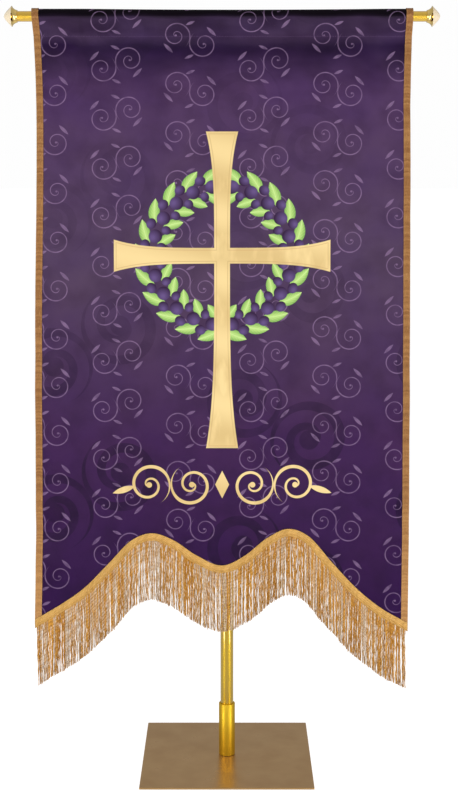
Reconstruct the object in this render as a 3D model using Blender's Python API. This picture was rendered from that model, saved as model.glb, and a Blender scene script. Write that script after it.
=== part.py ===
"""Church banner hung on a floor stand, as one solid for each piece that a maker cuts, sews on or fits.

Metres, +Z up. The origin is the centre of the plate's underside, and the banner's face looks along -Y.
"""
import math
import random

import bmesh
import bpy
import numpy as np
from mathutils import Matrix, Vector

# Clearance between pieces that touch, and between cloth and what carries it
GAP = 0.0003
CLOTH_GAP = 0.00045

# Square plate on the floor
PLATE_SIDE = 0.414
PLATE_THICK = 0.004
PLATE_EDGE = 0.0008

# Socket that takes the pole's foot
SOCKET_RADIUS = 0.0199
SOCKET_BORE = 0.0162
SOCKET_TOP = 0.134
SOCKET_LIP = 0.0008

# Upright pole
POLE_RADIUS = 0.0159
POLE_WALL = 0.0016
POLE_TOP = 1.8345
POLE_SIDES = 40

# Crossbar: a middle tube inside the sleeve, and two thinner tubes that slide out of it
BAR_X = -0.0115
BAR_Y = -0.038
BAR_Z = 1.8255
TUBE_RADIUS = 0.0143
TUBE_WALL = 0.0013
TUBE_HALF = 0.440
END_RADIUS = 0.0127
END_WALL = 0.0012
END_NEST = 0.120
TUBE_LIP = 0.0004
BAR_SIDES = 32

# Finial: a turned trumpet that widens to a sharp rim, then a cone with a rounded tip
RIM_REACH = 0.504
FLARE_LENGTH = 0.013
FINIAL_BORE = 0.009
FINIAL_PROFILE = (
    # radius, along from the inner end
    (0.0150, 0.0),
    (0.0161, 0.0040),
    (0.0182, 0.0076),
    (0.0212, 0.0106),
    (0.0253, FLARE_LENGTH),
    (0.0198, 0.0183),
    (0.0148, 0.0231),
    (0.0096, 0.0276),
    (0.0050, 0.0307),
    (0.0, 0.0325),
)

# Bracket: a cap over the pole's top with a cradle for the crossbar
CAP_RADIUS = 0.0200
CAP_BOTTOM = 1.7955
CAP_TOP = 1.8380
CRADLE_WALL = 0.003
CRADLE_HALF_LENGTH = 0.022
CRADLE_CENTRE_DEG = -37.0
CRADLE_HALF_DEG = 61.0
CRADLE_STEPS = 14
WEB_HALF_WIDTH = 0.012
WEB_FRONT = -0.0220
WEB_BACK = -0.0120
WEB_BELOW = 0.012
WEB_ABOVE = 0.004

# Banner cloth
CLOTH_THICK = 0.0015
SEAM_DROP = 0.0475
SEAM_TAIL = 0.006
SLEEVE_GAP = 0.0004
SLEEVE_ARC_STEPS = 12
SLEEVE_WAVE = 0.0022
SLEEVE_WAVE_LENGTH = 0.185
SLEEVE_WAVE_TURN = 0.8
CREST_LIFT = 0.0022
CREST_MIDDLE_X = 0.020
CREST_REACH = 0.36
CUTOUT_HALF = 0.032
CUTOUT_FOOT = 0.2
CUTOUT_FIRST_ROW = 2
CUTOUT_STEPS = 3
SIDE_COLUMNS = 16
CUTOUT_CELLS = 2
BODY_ROWS = 24
BROAD_WAVE = 0.0022
BROAD_WAVE_LENGTH = 0.33
BROAD_WAVE_TURN = 2.2
BROAD_WAVE_START = 0.25

# Both side edges of the cloth, from the top of the sleeve down
SIDE_OUTLINE = (
    # height, left edge, right edge
    (1.8400, -0.4680, 0.4465),
    (1.7800, -0.4642, 0.4444),
    (1.7200, -0.4610, 0.4428),
    (1.6400, -0.4589, 0.4424),
    (1.3900, -0.4598, 0.4438),
    (1.1400, -0.4645, 0.4443),
    (0.9000, -0.4663, 0.4450),
    (0.5300, -0.4676, 0.4446),
    (0.3500, -0.4715, 0.4437),
)

# Upper edge of the fringe's header: two arches and a rounded lobe between them
HEM_LINE = (
    # across, height
    (-0.4715, 0.3555),
    (-0.4090, 0.3920),
    (-0.3500, 0.4340),
    (-0.2910, 0.4940),
    (-0.2320, 0.5540),
    (-0.1860, 0.5710),
    (-0.1340, 0.5550),
    (-0.0760, 0.5160),
    (-0.0080, 0.4905),
    (0.0420, 0.5140),
    (0.1000, 0.5600),
    (0.1490, 0.5815),
    (0.1980, 0.5640),
    (0.2570, 0.4980),
    (0.3160, 0.4350),
    (0.3750, 0.3870),
    (0.4437, 0.3480),
)

# Soft hollows (depth above zero) and pillows (depth below zero) in the hanging cloth
FOLDS = (
    # across, height, half width, half height, lean, depth
    (-0.402, 1.733, 0.050, 0.045, 0.00, -0.0050),
    (-0.306, 1.735, 0.040, 0.045, 0.25, 0.0040),
    (-0.010, 1.752, 0.300, 0.018, 0.00, 0.0020),
    (0.380, 1.690, 0.024, 0.090, -0.53, 0.0050),
    (0.418, 1.735, 0.030, 0.045, 0.00, -0.0040),
    (-0.120, 0.700, 0.110, 0.160, 0.30, -0.0025),
    (0.210, 0.860, 0.090, 0.200, -0.20, 0.0025),
)

# Puckers where the side trim draws the cloth's edge up
EDGE_REACH = 0.050
EDGE_PUCKERS = (
    # side, height, half height, depth
    (-1, 1.010, 0.034, 0.0040),
    (-1, 0.923, 0.032, -0.0035),
    (-1, 0.812, 0.034, 0.0030),
    (-1, 0.640, 0.032, -0.0030),
    (-1, 0.575, 0.030, 0.0038),
    (-1, 0.492, 0.030, -0.0030),
    (1, 1.613, 0.032, 0.0040),
    (1, 1.348, 0.034, 0.0040),
    (1, 0.984, 0.036, 0.0038),
    (1, 0.900, 0.032, -0.0030),
    (1, 0.800, 0.034, 0.0030),
    (1, 0.652, 0.034, -0.0030),
    (1, 0.553, 0.032, -0.0028),
)

# Braid down each side
TRIM_WIDTH = 0.0170
TRIM_THICK = 0.0014
TRIM_INSET = 0.0008

# Fringe
HEADER_HEIGHT = 0.019
HEADER_THICK = 0.0018
HEADER_GAP = 0.0006
HEADER_RAMP = 0.014
CLOTH_UNDER_HEADER = 0.0155
STRANDS = 220
STRAND_SHARE = 0.52
STRAND_LENGTH = 0.146
STRAND_INSET = 0.006
STRAND_SWAY = 0.0010
STRAND_SWAY_LENGTH = 0.090
STRAND_SWAY_TURN = 2.5
STRAND_JITTER = 0.00022
STRAND_TIP_SCALE = 0.72
HEM_SAMPLES = 1500
SEED = 11

# Colours: red, green, blue, roughness, metallic
FINISHES = {
    "polished_gold": (0.72, 0.47, 0.13, 0.22, 1.0),
    "bronze_plate": (0.33, 0.22, 0.12, 0.38, 0.9),
    "purple_satin": (0.075, 0.035, 0.100, 0.40, 0.0),
    "copper_braid": (0.47, 0.23, 0.08, 0.60, 0.0),
    "gold_fringe": (0.66, 0.36, 0.08, 0.55, 0.0),
}


def clear_scene():
    """Removes whatever the scene holds."""
    for item in list(bpy.data.objects):
        bpy.data.objects.remove(item)


def finish(name):
    """Returns the named material, made once."""
    found = bpy.data.materials.get(name)
    if found:
        return found
    red, green, blue, roughness, metallic = FINISHES[name]
    material = bpy.data.materials.new(name)
    material.use_nodes = True
    shader = material.node_tree.nodes["Principled BSDF"]
    shader.inputs["Base Color"].default_value = (red, green, blue, 1.0)
    shader.inputs["Roughness"].default_value = roughness
    shader.inputs["Metallic"].default_value = metallic
    material.diffuse_color = (red, green, blue, 1.0)
    return material


def add_object(name, shape, finish_name, smooth_below=None):
    """Turns a bmesh into an object with its material."""
    mesh = bpy.data.meshes.new(name)
    shape.to_mesh(mesh)
    shape.free()
    item = bpy.data.objects.new(name, mesh)
    bpy.context.scene.collection.objects.link(item)
    mesh.materials.append(finish(finish_name))
    if smooth_below is not None:
        mesh.shade_smooth()
        mesh.set_sharp_from_angle(angle=math.radians(smooth_below))
    return item


def hide_cutter(item):
    """Marks an object as a tool that shapes another and isn't part of the model."""
    item.hide_render = True
    item.display_type = "WIRE"


def combine(target, tool, operation):
    """Adds one exact Boolean step to the target."""
    step = target.modifiers.new(tool.name, "BOOLEAN")
    step.operation = operation
    step.solver = "EXACT"
    step.object = tool
    hide_cutter(tool)


def spun_ring(profile, sides, first_edge=0):
    """Spins a profile of (radius, along) points about Z, closed unless it starts and ends on the axis."""
    shape = bmesh.new()
    corners = [shape.verts.new((radius, 0.0, along)) for radius, along in profile]
    edges = [shape.edges.new((corners[i - 1], corners[i])) for i in range(first_edge, len(corners))]
    bmesh.ops.spin(
        shape, geom=corners + edges, axis=(0, 0, 1), cent=(0, 0, 0),
        angle=math.tau, steps=sides, use_merge=True,
    )
    bmesh.ops.remove_doubles(shape, verts=shape.verts, dist=1e-6)
    bmesh.ops.recalc_face_normals(shape, faces=shape.faces)
    return shape


def tube_profile(outer, inner, low, high, lip):
    """Section of a tube's wall with a small chamfer on the outside of both ends."""
    return (
        (inner, low), (outer - lip, low), (outer, low + lip),
        (outer, high - lip), (outer - lip, high), (inner, high),
    )


def loft(sections):
    """Joins a row of sections with the same number of corners into one closed solid."""
    shape = bmesh.new()
    rings = [[shape.verts.new(point) for point in section] for section in sections]
    loops = []
    for ring in rings:
        loops.append([shape.edges.new((ring[i - 1], ring[i])) for i in range(len(ring))])
    for lower, upper in zip(loops, loops[1:]):
        bmesh.ops.bridge_loops(shape, edges=lower + upper)
    shape.faces.new(rings[0])
    shape.faces.new(rings[-1])
    bmesh.ops.recalc_face_normals(shape, faces=shape.faces)
    return shape, rings


def build_plate():
    """Flat square plate with lightly eased edges."""
    shape = bmesh.new()
    size = Matrix.Diagonal((PLATE_SIDE, PLATE_SIDE, PLATE_THICK, 1.0))
    place = Matrix.Translation((0, 0, PLATE_THICK / 2))
    bmesh.ops.create_cube(shape, size=1.0, matrix=place @ size)
    item = add_object("base_plate", shape, "bronze_plate")
    ease = item.modifiers.new("eased_edges", "BEVEL")
    ease.width = PLATE_EDGE
    ease.segments = 2


def build_socket():
    """Tube that stands on the plate round the pole's foot."""
    profile = tube_profile(SOCKET_RADIUS, SOCKET_BORE, PLATE_THICK + GAP, SOCKET_TOP, SOCKET_LIP)
    add_object("base_socket", spun_ring(profile, POLE_SIDES), "polished_gold", 30)


def build_pole():
    """Upright tube from the plate to the bracket."""
    profile = tube_profile(POLE_RADIUS, POLE_RADIUS - POLE_WALL, PLATE_THICK + GAP, POLE_TOP, TUBE_LIP)
    add_object("pole", spun_ring(profile, POLE_SIDES), "polished_gold", 30)


def lay_along_x(item, side):
    """Turns an object built along +Z to lie on the crossbar's axis, pointing to the given side."""
    item.location = (BAR_X, BAR_Y, BAR_Z)
    item.rotation_euler = (0.0, side * math.pi / 2, 0.0)


def build_crossbar():
    """Middle tube and the two thinner tubes that slide out of it."""
    middle = tube_profile(TUBE_RADIUS, TUBE_RADIUS - TUBE_WALL, -TUBE_HALF, TUBE_HALF, TUBE_LIP)
    lay_along_x(add_object("crossbar_tube", spun_ring(middle, BAR_SIDES), "polished_gold", 30), 1)
    inner_end = TUBE_HALF - END_NEST
    outer_end = RIM_REACH - FLARE_LENGTH + FINIAL_BORE - GAP
    end = tube_profile(END_RADIUS, END_RADIUS - END_WALL, inner_end, outer_end, TUBE_LIP)
    for name, side in (("crossbar_end_left", -1), ("crossbar_end_right", 1)):
        lay_along_x(add_object(name, spun_ring(end, BAR_SIDES), "polished_gold", 30), side)


def build_finials():
    """Both finials, each bored to take the end of its tube."""
    start = RIM_REACH - FLARE_LENGTH
    bore = END_RADIUS + GAP
    profile = [(0.0, start + FINIAL_BORE), (bore, start + FINIAL_BORE), (bore, start)]
    profile += [(radius, start + along) for radius, along in FINIAL_PROFILE]
    for name, side in (("finial_left", -1), ("finial_right", 1)):
        lay_along_x(add_object(name, spun_ring(profile, BAR_SIDES, 1), "polished_gold", 30), side)


def cradle_shape():
    """Arc-shaped trough behind and under the crossbar, run along X."""
    inner = TUBE_RADIUS + GAP
    outer = inner + CRADLE_WALL
    turns = np.radians(np.linspace(-CRADLE_HALF_DEG, CRADLE_HALF_DEG, CRADLE_STEPS + 1) + CRADLE_CENTRE_DEG)
    outline = [(outer * math.cos(a), outer * math.sin(a)) for a in turns]
    outline += [(inner * math.cos(a), inner * math.sin(a)) for a in reversed(turns)]
    shape = bmesh.new()
    corners = [shape.verts.new((-CRADLE_HALF_LENGTH, BAR_Y + y, BAR_Z + z)) for y, z in outline]
    end = shape.faces.new(corners)
    pulled = bmesh.ops.extrude_face_region(shape, geom=[end])
    moved = [part for part in pulled["geom"] if isinstance(part, bmesh.types.BMVert)]
    bmesh.ops.translate(shape, verts=moved, vec=(2 * CRADLE_HALF_LENGTH, 0, 0))
    bmesh.ops.recalc_face_normals(shape, faces=shape.faces)
    return shape


def upright_cylinder(radius, low, high, sides):
    """Closed cylinder round the pole's axis."""
    shape = bmesh.new()
    place = Matrix.Translation((0, 0, (low + high) / 2))
    bmesh.ops.create_cone(
        shape, cap_ends=True, segments=sides, radius1=radius, radius2=radius, depth=high - low, matrix=place,
    )
    return shape


def build_bracket():
    """Cap on the pole's top, joined by a short web to the crossbar's cradle."""
    bracket = add_object(
        "crossbar_bracket", upright_cylinder(CAP_RADIUS, CAP_BOTTOM, CAP_TOP, POLE_SIDES), "polished_gold", 30,
    )
    web = bmesh.new()
    size = (2 * WEB_HALF_WIDTH, WEB_BACK - WEB_FRONT, WEB_ABOVE + WEB_BELOW)
    centre = (0.0, (WEB_BACK + WEB_FRONT) / 2, BAR_Z + (WEB_ABOVE - WEB_BELOW) / 2)
    place = Matrix.Translation(centre) @ Matrix.Diagonal((*size, 1.0))
    bmesh.ops.create_cube(web, size=1.0, matrix=place)
    combine(bracket, add_object("bracket_web", web, "polished_gold"), "UNION")
    combine(bracket, add_object("bracket_cradle", cradle_shape(), "polished_gold"), "UNION")
    bore = upright_cylinder(POLE_RADIUS + GAP, CAP_BOTTOM - CAP_RADIUS, POLE_TOP + GAP, POLE_SIDES)
    combine(bracket, add_object("bracket_bore", bore, "polished_gold"), "DIFFERENCE")


def edge_at(height, side):
    """Place across of the cloth's left (-1) or right (1) edge at a height."""
    table = np.array(SIDE_OUTLINE)[::-1]
    return float(np.interp(height, table[:, 0], table[:, 1 if side < 0 else 2]))


def hem_at(across):
    """Height of the header's upper edge: a smooth curve through the points of HEM_LINE."""
    points = np.array(HEM_LINE)
    slopes = np.gradient(points[:, 1], points[:, 0])
    across = min(max(across, points[0, 0]), points[-1, 0])
    left = min(int(np.searchsorted(points[:, 0], across, side="right")) - 1, len(points) - 2)
    span = points[left + 1, 0] - points[left, 0]
    t = (across - points[left, 0]) / span
    start = (2 * t**3 - 3 * t**2 + 1) * points[left, 1] + (t**3 - 2 * t**2 + t) * span * slopes[left]
    stop = (3 * t**2 - 2 * t**3) * points[left + 1, 1] + (t**3 - t**2) * span * slopes[left + 1]
    return float(start + stop)


def fold_depth(across, height):
    """How far the hanging cloth lies behind its flat plane at a place on its face."""
    turn = BROAD_WAVE_TURN * (BAR_Z - height)
    fade = min(1.0, (BAR_Z - SEAM_DROP - height) / BROAD_WAVE_START)
    depth = BROAD_WAVE * fade * math.sin(math.tau * across / BROAD_WAVE_LENGTH + turn)
    for x, z, wide, tall, lean, deep in FOLDS:
        off = (across - x - lean * (height - z)) / wide
        depth += deep * math.exp(-off**2 - ((height - z) / tall) ** 2)
    for side, z, tall, deep in EDGE_PUCKERS:
        inward = abs(edge_at(height, side) - across) / EDGE_REACH
        depth += deep * math.exp(-inward**2 - ((height - z) / tall) ** 2)
    return depth


def crest_lift(across):
    """How far the sleeve stands off the top of the crossbar: least near the middle."""
    return CREST_LIFT * min(1.0, ((across - CREST_MIDDLE_X) / CREST_REACH) ** 2)


def sleeve_wave(across):
    """Soft forward waves of the sleeve's front between the crossbar and the seam."""
    return SLEEVE_WAVE * 0.5 * (1.0 + math.sin(math.tau * across / SLEEVE_WAVE_LENGTH + SLEEVE_WAVE_TURN))


def sleeve_section():
    """Section of the sleeve round the bar's axis: rows of (point, wave share, top share, seam share).

    A point is (forward, up). The shares say how much of the front's waves, of the crest's lift and of the
    seam's own folds a row takes.
    """
    radius = TUBE_RADIUS + CLOTH_GAP + CLOTH_THICK / 2
    low = math.asin(radius / SEAM_DROP)
    meet_front = Vector((radius * math.cos(low), -radius * math.sin(low)))
    meet_back = Vector((-meet_front.x, meet_front.y))
    seam_front = Vector((0.0, -SEAM_DROP))
    seam_back = Vector((-CLOTH_THICK - SLEEVE_GAP, -SEAM_DROP))
    rows = [(seam_back + Vector((0, -SEAM_TAIL)), 0.0, 0.0, 1.0)]
    for share in (0.0, CUTOUT_FOOT):
        rows.append((seam_back.lerp(meet_back, share), 0.0, 0.0, 1.0 - share))
    sweep = math.pi + 2 * low
    for step in range(SLEEVE_ARC_STEPS + 1):
        angle = math.pi + low - sweep * step / SLEEVE_ARC_STEPS
        point = Vector((radius * math.cos(angle), radius * math.sin(angle)))
        rows.append((point, 0.0, max(0.0, math.sin(angle)), 0.0))
    for share in (0.33, 0.67):
        rows.append((meet_front.lerp(seam_front, share), math.sin(math.pi * share), 0.0, share))
    return rows


def column_shares():
    """Shares of the cloth's width at which its columns run: beside the braids and the cut-out, and between."""
    left, right = edge_at(BAR_Z, -1), edge_at(BAR_Z, 1)
    braid = TRIM_INSET + TRIM_WIDTH
    across = np.concatenate([
        [left],
        np.linspace(left + braid, -CUTOUT_HALF, SIDE_COLUMNS),
        np.linspace(-CUTOUT_HALF, CUTOUT_HALF, CUTOUT_CELLS + 1)[1:-1],
        np.linspace(CUTOUT_HALF, right - braid, SIDE_COLUMNS),
        [right],
    ])
    return (across - left) / (right - left)


def cloth_grid():
    """Middle surface of the cloth as an array of points, rows from the sleeve's tail to the hem."""
    rows = []
    for point, wave, top, seam in sleeve_section():
        height = BAR_Z + point.y
        left, right = edge_at(height, -1), edge_at(height, 1)
        row = []
        for across in left + column_shares() * (right - left):
            folds = seam * fold_depth(across, min(height, BAR_Z - SEAM_DROP))
            y = BAR_Y - point.x - wave * sleeve_wave(across) + folds
            row.append((across, y, height + top * crest_lift(across)))
        rows.append(row)
    start = BAR_Z - SEAM_DROP
    for step in range(BODY_ROWS + 1):
        row = []
        for share in column_shares():
            height = start
            for _ in range(4):
                left, right = edge_at(height, -1), edge_at(height, 1)
                across = left + share * (right - left)
                height = start + (hem_at(across) - CLOTH_UNDER_HEADER - start) * step / BODY_ROWS
            row.append((across, BAR_Y + fold_depth(across, height), height))
        rows.append(row)
    return np.array(rows)


def build_cloth(grid):
    """The banner's cloth: sleeve, seam layer and hanging face, one sheet with a cut-out behind."""
    shape = bmesh.new()
    verts = [[shape.verts.new(point) for point in row] for row in grid]
    cut_columns = range(SIDE_COLUMNS, SIDE_COLUMNS + CUTOUT_CELLS)
    cut_rows = range(CUTOUT_FIRST_ROW, CUTOUT_FIRST_ROW + 1 + CUTOUT_STEPS)
    for i in range(len(verts) - 1):
        for j in range(len(verts[0]) - 1):
            if i in cut_rows and j in cut_columns:
                continue
            shape.faces.new((verts[i][j], verts[i + 1][j], verts[i + 1][j + 1], verts[i][j + 1]))
    loose = [vert for vert in shape.verts if not vert.link_faces]
    bmesh.ops.delete(shape, geom=loose, context="VERTS")
    cloth = add_object("banner_cloth", shape, "purple_satin", 60)
    sheet = cloth.modifiers.new("thickness", "SOLIDIFY")
    sheet.thickness = CLOTH_THICK
    sheet.offset = 0.0
    sheet.use_even_offset = True


def row_point(row, across):
    """Point of one cloth row at a place across."""
    return Vector((across, np.interp(across, row[:, 0], row[:, 1]), np.interp(across, row[:, 0], row[:, 2])))


def braid_sections(grid, side):
    """Four-cornered sections of one side braid, a row for each row of the cloth that it is sewn to."""
    edge_column = 0 if side < 0 else -1
    lift = CLOTH_THICK / 2 + CLOTH_GAP
    sections = []
    for i, row in enumerate(grid):
        edge = row[edge_column, 0] - side * TRIM_INSET
        outer, inner = row_point(row, edge), row_point(row, edge - side * TRIM_WIDTH)
        before = row_point(grid[max(i - 1, 0)], edge)
        after = row_point(grid[min(i + 1, len(grid) - 1)], edge)
        run = after - before
        out = Vector((0.0, run.z, -run.y)).normalized()
        near, far = out * lift, out * (lift + TRIM_THICK)
        sections.append((outer + near, inner + near, inner + far, outer + far))
    return sections


def build_trims(grid):
    """Braid down both sides, over the sleeve and down its back layer."""
    for name, side in (("trim_left", -1), ("trim_right", 1)):
        shape, _ = loft(braid_sections(grid, side))
        add_object(name, shape, "copper_braid", 40)


def cloth_y(grid, across, height):
    """Depth of the hanging face's middle surface at a place, read on the sheet's own facets."""
    body = grid[-(BODY_ROWS + 1):][::-1]
    points = [row_point(row, across) for row in body]
    return float(np.interp(height, [point.z for point in points], [point.y for point in points]))


def header_gap(across):
    """Gap from the cloth's face to the header's back: small, but wide enough to pass over the braids."""
    over_braid = GAP + CLOTH_GAP + TRIM_THICK
    edge = min(across - HEM_LINE[0][0], HEM_LINE[-1][0] - across)
    share = min(max((edge - TRIM_WIDTH - 2 * TRIM_INSET) / HEADER_RAMP, 0.0), 1.0)
    return over_braid + (HEADER_GAP - over_braid) * share


def header_stations():
    """Places across where the header's facets meet, with both edges of every strand's root between."""
    line = np.linspace(HEM_LINE[0][0] + TRIM_INSET, HEM_LINE[-1][0] - TRIM_INSET, HEM_SAMPLES)
    heights = np.array([hem_at(across) for across in line])
    along = np.concatenate([[0.0], np.cumsum(np.hypot(np.diff(line), np.diff(heights)))])
    pitch = (along[-1] - 2 * STRAND_INSET) / STRANDS
    marks = [0.0]
    for strand in range(STRANDS):
        middle = STRAND_INSET + (strand + 0.5) * pitch
        marks += [middle - STRAND_SHARE * pitch / 2, middle + STRAND_SHARE * pitch / 2]
    marks.append(along[-1])
    places = np.interp(marks, along, line)
    steepness = np.interp(places, line, np.hypot(1.0, np.gradient(heights, line)))
    return list(zip(places, steepness))


def build_fringe(grid):
    """Fringe: a woven header along the shaped hem, with every strand hanging from its lower edge."""
    sections = []
    for across, steepness in header_stations():
        top = hem_at(across)
        foot = top - HEADER_HEIGHT * steepness
        back = -CLOTH_THICK / 2 - header_gap(across)
        high = Vector((across, cloth_y(grid, across, top) + back, top))
        low = Vector((across, cloth_y(grid, across, foot) + back, foot))
        front = Vector((0.0, -HEADER_THICK, 0.0))
        sections.append((high, low, low + front, high + front))
    shape, rings = loft(sections)
    roots = []
    for strand in range(STRANDS):
        corners = set(rings[2 * strand + 1][1:3] + rings[2 * strand + 2][1:3])
        faces = rings[2 * strand + 1][1].link_faces
        roots.append(next(face for face in faces if set(face.verts) == corners))
    draw_strands(shape, roots)
    add_object("fringe", shape, "gold_fringe")


def draw_strands(shape, roots):
    """Pulls the header's root faces down into hanging strands that sway a little together."""
    chance = random.Random(SEED)
    for share_down, scale in ((0.5, 1.0), (1.0, STRAND_TIP_SCALE)):
        roots = bmesh.ops.extrude_discrete_faces(shape, faces=roots)["faces"]
        for root in roots:
            across = root.calc_center_median().x
            sway = STRAND_SWAY * math.sin(math.tau * across / STRAND_SWAY_LENGTH + STRAND_SWAY_TURN * share_down)
            sway += chance.uniform(-STRAND_JITTER, STRAND_JITTER)
            depth = chance.uniform(-STRAND_SWAY, STRAND_SWAY)
            move = Vector((sway / 2, depth, -STRAND_LENGTH / 2))
            bmesh.ops.translate(shape, verts=root.verts, vec=move)
            centre = root.calc_center_median()
            size = Matrix.Diagonal((scale, scale, 1.0, 1.0))
            bmesh.ops.transform(shape, verts=root.verts, matrix=size, space=Matrix.Translation(-centre))


def main():
    """Builds every piece."""
    clear_scene()
    build_plate()
    build_socket()
    build_pole()
    build_crossbar()
    build_finials()
    build_bracket()
    grid = cloth_grid()
    build_cloth(grid)
    build_trims(grid)
    build_fringe(grid)


main()
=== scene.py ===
"""Looks of a satin church banner on its floor stand, in metres, +Z up, with the banner's face towards -Y.

The cloth, its braids, stitches and fringe are laid on one shared form of how the banner hangs. The stand's
tubes and finials are turned again at a finer step than their solids.
"""
import logging
import math
import random
from collections.abc import Callable, Sequence
from dataclasses import dataclass, replace
from enum import Enum
from typing import TypeAlias

import bmesh
import bpy
import numpy as np
from mathutils import Matrix, Vector


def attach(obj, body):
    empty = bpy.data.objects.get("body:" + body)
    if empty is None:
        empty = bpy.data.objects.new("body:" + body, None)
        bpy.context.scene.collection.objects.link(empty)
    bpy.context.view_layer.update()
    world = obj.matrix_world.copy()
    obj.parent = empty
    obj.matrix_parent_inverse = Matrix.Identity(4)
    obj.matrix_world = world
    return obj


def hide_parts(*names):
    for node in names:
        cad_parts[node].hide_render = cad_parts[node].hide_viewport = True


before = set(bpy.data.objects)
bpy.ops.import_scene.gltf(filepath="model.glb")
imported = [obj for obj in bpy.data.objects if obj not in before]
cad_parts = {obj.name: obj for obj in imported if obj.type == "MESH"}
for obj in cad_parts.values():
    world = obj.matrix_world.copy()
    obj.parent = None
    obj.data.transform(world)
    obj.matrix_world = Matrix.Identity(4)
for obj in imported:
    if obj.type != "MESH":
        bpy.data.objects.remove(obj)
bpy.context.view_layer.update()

log = logging.getLogger("church_banner")

Colour = tuple[float, float, float]
Tree = bpy.types.NodeTree
Material = bpy.types.Material
Item = bpy.types.Object
Value: TypeAlias = "Field | float"


class Slot(Enum):
    """Names of the record's material slots."""

    SATIN = "purple_satin"
    BRAID = "copper_braid"
    FRINGE = "gold_fringe"
    METAL = "gold_metal"
    PLATE = "bronze_plate"


# ---- Fields: numbers that change over a surface ----


def math_method(operation: str) -> Callable[..., "Field"]:
    """A method of fields that adds the named Math node to them."""
    return lambda self, *others: self.math(operation, *others)


class Field:
    """A number that changes over a surface. Arithmetic on it adds Math nodes to its tree."""

    def __init__(self, tree: Tree, socket: bpy.types.NodeSocket) -> None:
        """Keeps the tree and the output socket that carries the number."""
        self.tree = tree
        self.socket = socket

    def math(self, operation: str, *others: Value) -> "Field":
        """Adds one Math node.

        Args:
            operation: name of the node's operation.
            others: its other inputs, as fields or plain numbers.

        Returns:
            The node's result.
        """
        node = self.tree.nodes.new("ShaderNodeMath")
        node.operation = operation
        for slot, value in zip(node.inputs, (self, *others)):
            feed(self.tree, value, slot)
        return Field(self.tree, node.outputs[0])

    __add__ = math_method("ADD")
    __sub__ = math_method("SUBTRACT")
    __mul__ = math_method("MULTIPLY")
    __truediv__ = math_method("DIVIDE")
    __abs__ = math_method("ABSOLUTE")
    least = math_method("MINIMUM")
    most = math_method("MAXIMUM")
    power = math_method("POWER")
    fraction = math_method("FRACT")

    def __neg__(self) -> "Field":
        """The number with its sign turned."""
        return self * -1.0

    def wave(self) -> "Field":
        """Sine of one turn for each unit."""
        return (self * math.tau).math("SINE")

    def remap(self, low: float, high: float, start: float, stop: float, kind: str = "LINEAR") -> "Field":
        """Maps low..high to start..stop and holds the ends.

        Args:
            low: number that gives start.
            high: number that gives stop.
            start: result at low.
            stop: result at high.
            kind: interpolation of the Map Range node.

        Returns:
            The mapped number.
        """
        node = self.tree.nodes.new("ShaderNodeMapRange")
        node.interpolation_type = kind
        feed(self.tree, self, node.inputs["Value"])
        for name, value in zip(("From Min", "From Max", "To Min", "To Max"), (low, high, start, stop)):
            node.inputs[name].default_value = value
        return Field(self.tree, node.outputs["Result"])

    def under(self, limit: Value, soft: float) -> "Field":
        """Mask that is 1 where the number is below a limit, with a soft edge."""
        return (self - limit).remap(-soft, soft, 1.0, 0.0, "SMOOTHSTEP")


Fields = dict[str, Field]


def feed(tree: Tree, value: "Field | float | Sequence[float]", slot: bpy.types.NodeSocket) -> None:
    """Links a field to an input, or sets the input's own number."""
    if isinstance(value, Field):
        tree.links.new(value.socket, slot)
    else:
        slot.default_value = value


def length_of(x: Field, y: Field) -> Field:
    """Distance of a point from its origin."""
    return (x * x + y * y).math("SQRT")


def turned(x: Field, y: Field, degrees: float) -> tuple[Field, Field]:
    """A point's coordinates on axes that are turned by an angle."""
    cosine, sine = math.cos(math.radians(degrees)), math.sin(math.radians(degrees))
    return x * cosine + y * sine, y * cosine - x * sine


def tinted(tree: Tree, share: Field, base: "Field | Colour", over: "Field | Colour") -> Field:
    """Lays one colour over another by a share from 0 to 1."""
    node = tree.nodes.new("ShaderNodeMix")
    node.data_type = "RGBA"
    feed(tree, share, node.inputs[0])
    for slot, colour in ((node.inputs[6], base), (node.inputs[7], over)):
        feed(tree, colour if isinstance(colour, Field) else (*colour, 1.0), slot)
    return Field(tree, node.outputs[2])


def shaded(tree: Tree, share: Field, base: Field, by: Colour) -> Field:
    """Multiplies a colour by another by a share from 0 to 1."""
    result = tinted(tree, share, base, by)
    result.socket.node.blend_type = "MULTIPLY"
    return result


def noise(tree: Tree, place: Field, scale: float, detail: float = 2.0) -> Field:
    """Smooth noise from 0 to 1 over a place."""
    node = tree.nodes.new("ShaderNodeTexNoise")
    feed(tree, place, node.inputs["Vector"])
    node.inputs["Scale"].default_value = scale
    node.inputs["Detail"].default_value = detail
    return Field(tree, node.outputs["Fac"])


def joined(tree: Tree, x: Field, y: Value, z: Value = 0.0) -> Field:
    """A place made of its coordinates."""
    node = tree.nodes.new("ShaderNodeCombineXYZ")
    for slot, value in zip(node.inputs, (x, y, z)):
        feed(tree, value, slot)
    return Field(tree, node.outputs[0])


def parted(tree: Tree, place: Field) -> list[Field]:
    """The three coordinates of a place."""
    node = tree.nodes.new("ShaderNodeSeparateXYZ")
    feed(tree, place, node.inputs[0])
    return [Field(tree, socket) for socket in node.outputs]


def ramped(tree: Tree, value: Field, stops: Sequence[tuple[float, Colour]]) -> Field:
    """Colour that runs through stops of (number, colour) as a value rises."""
    low, high = stops[0][0], stops[-1][0]
    ramp = tree.nodes.new("ShaderNodeValToRGB")
    marks = ramp.color_ramp.elements
    while len(marks) < len(stops):
        marks.new(0.5)
    for mark, (number, colour) in zip(marks, stops):
        mark.position = (number - low) / (high - low)
        mark.color = (*colour, 1.0)
    feed(tree, value.remap(low, high, 0.0, 1.0), ramp.inputs[0])
    return Field(tree, ramp.outputs["Color"])


# ---- Node groups ----


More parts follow.
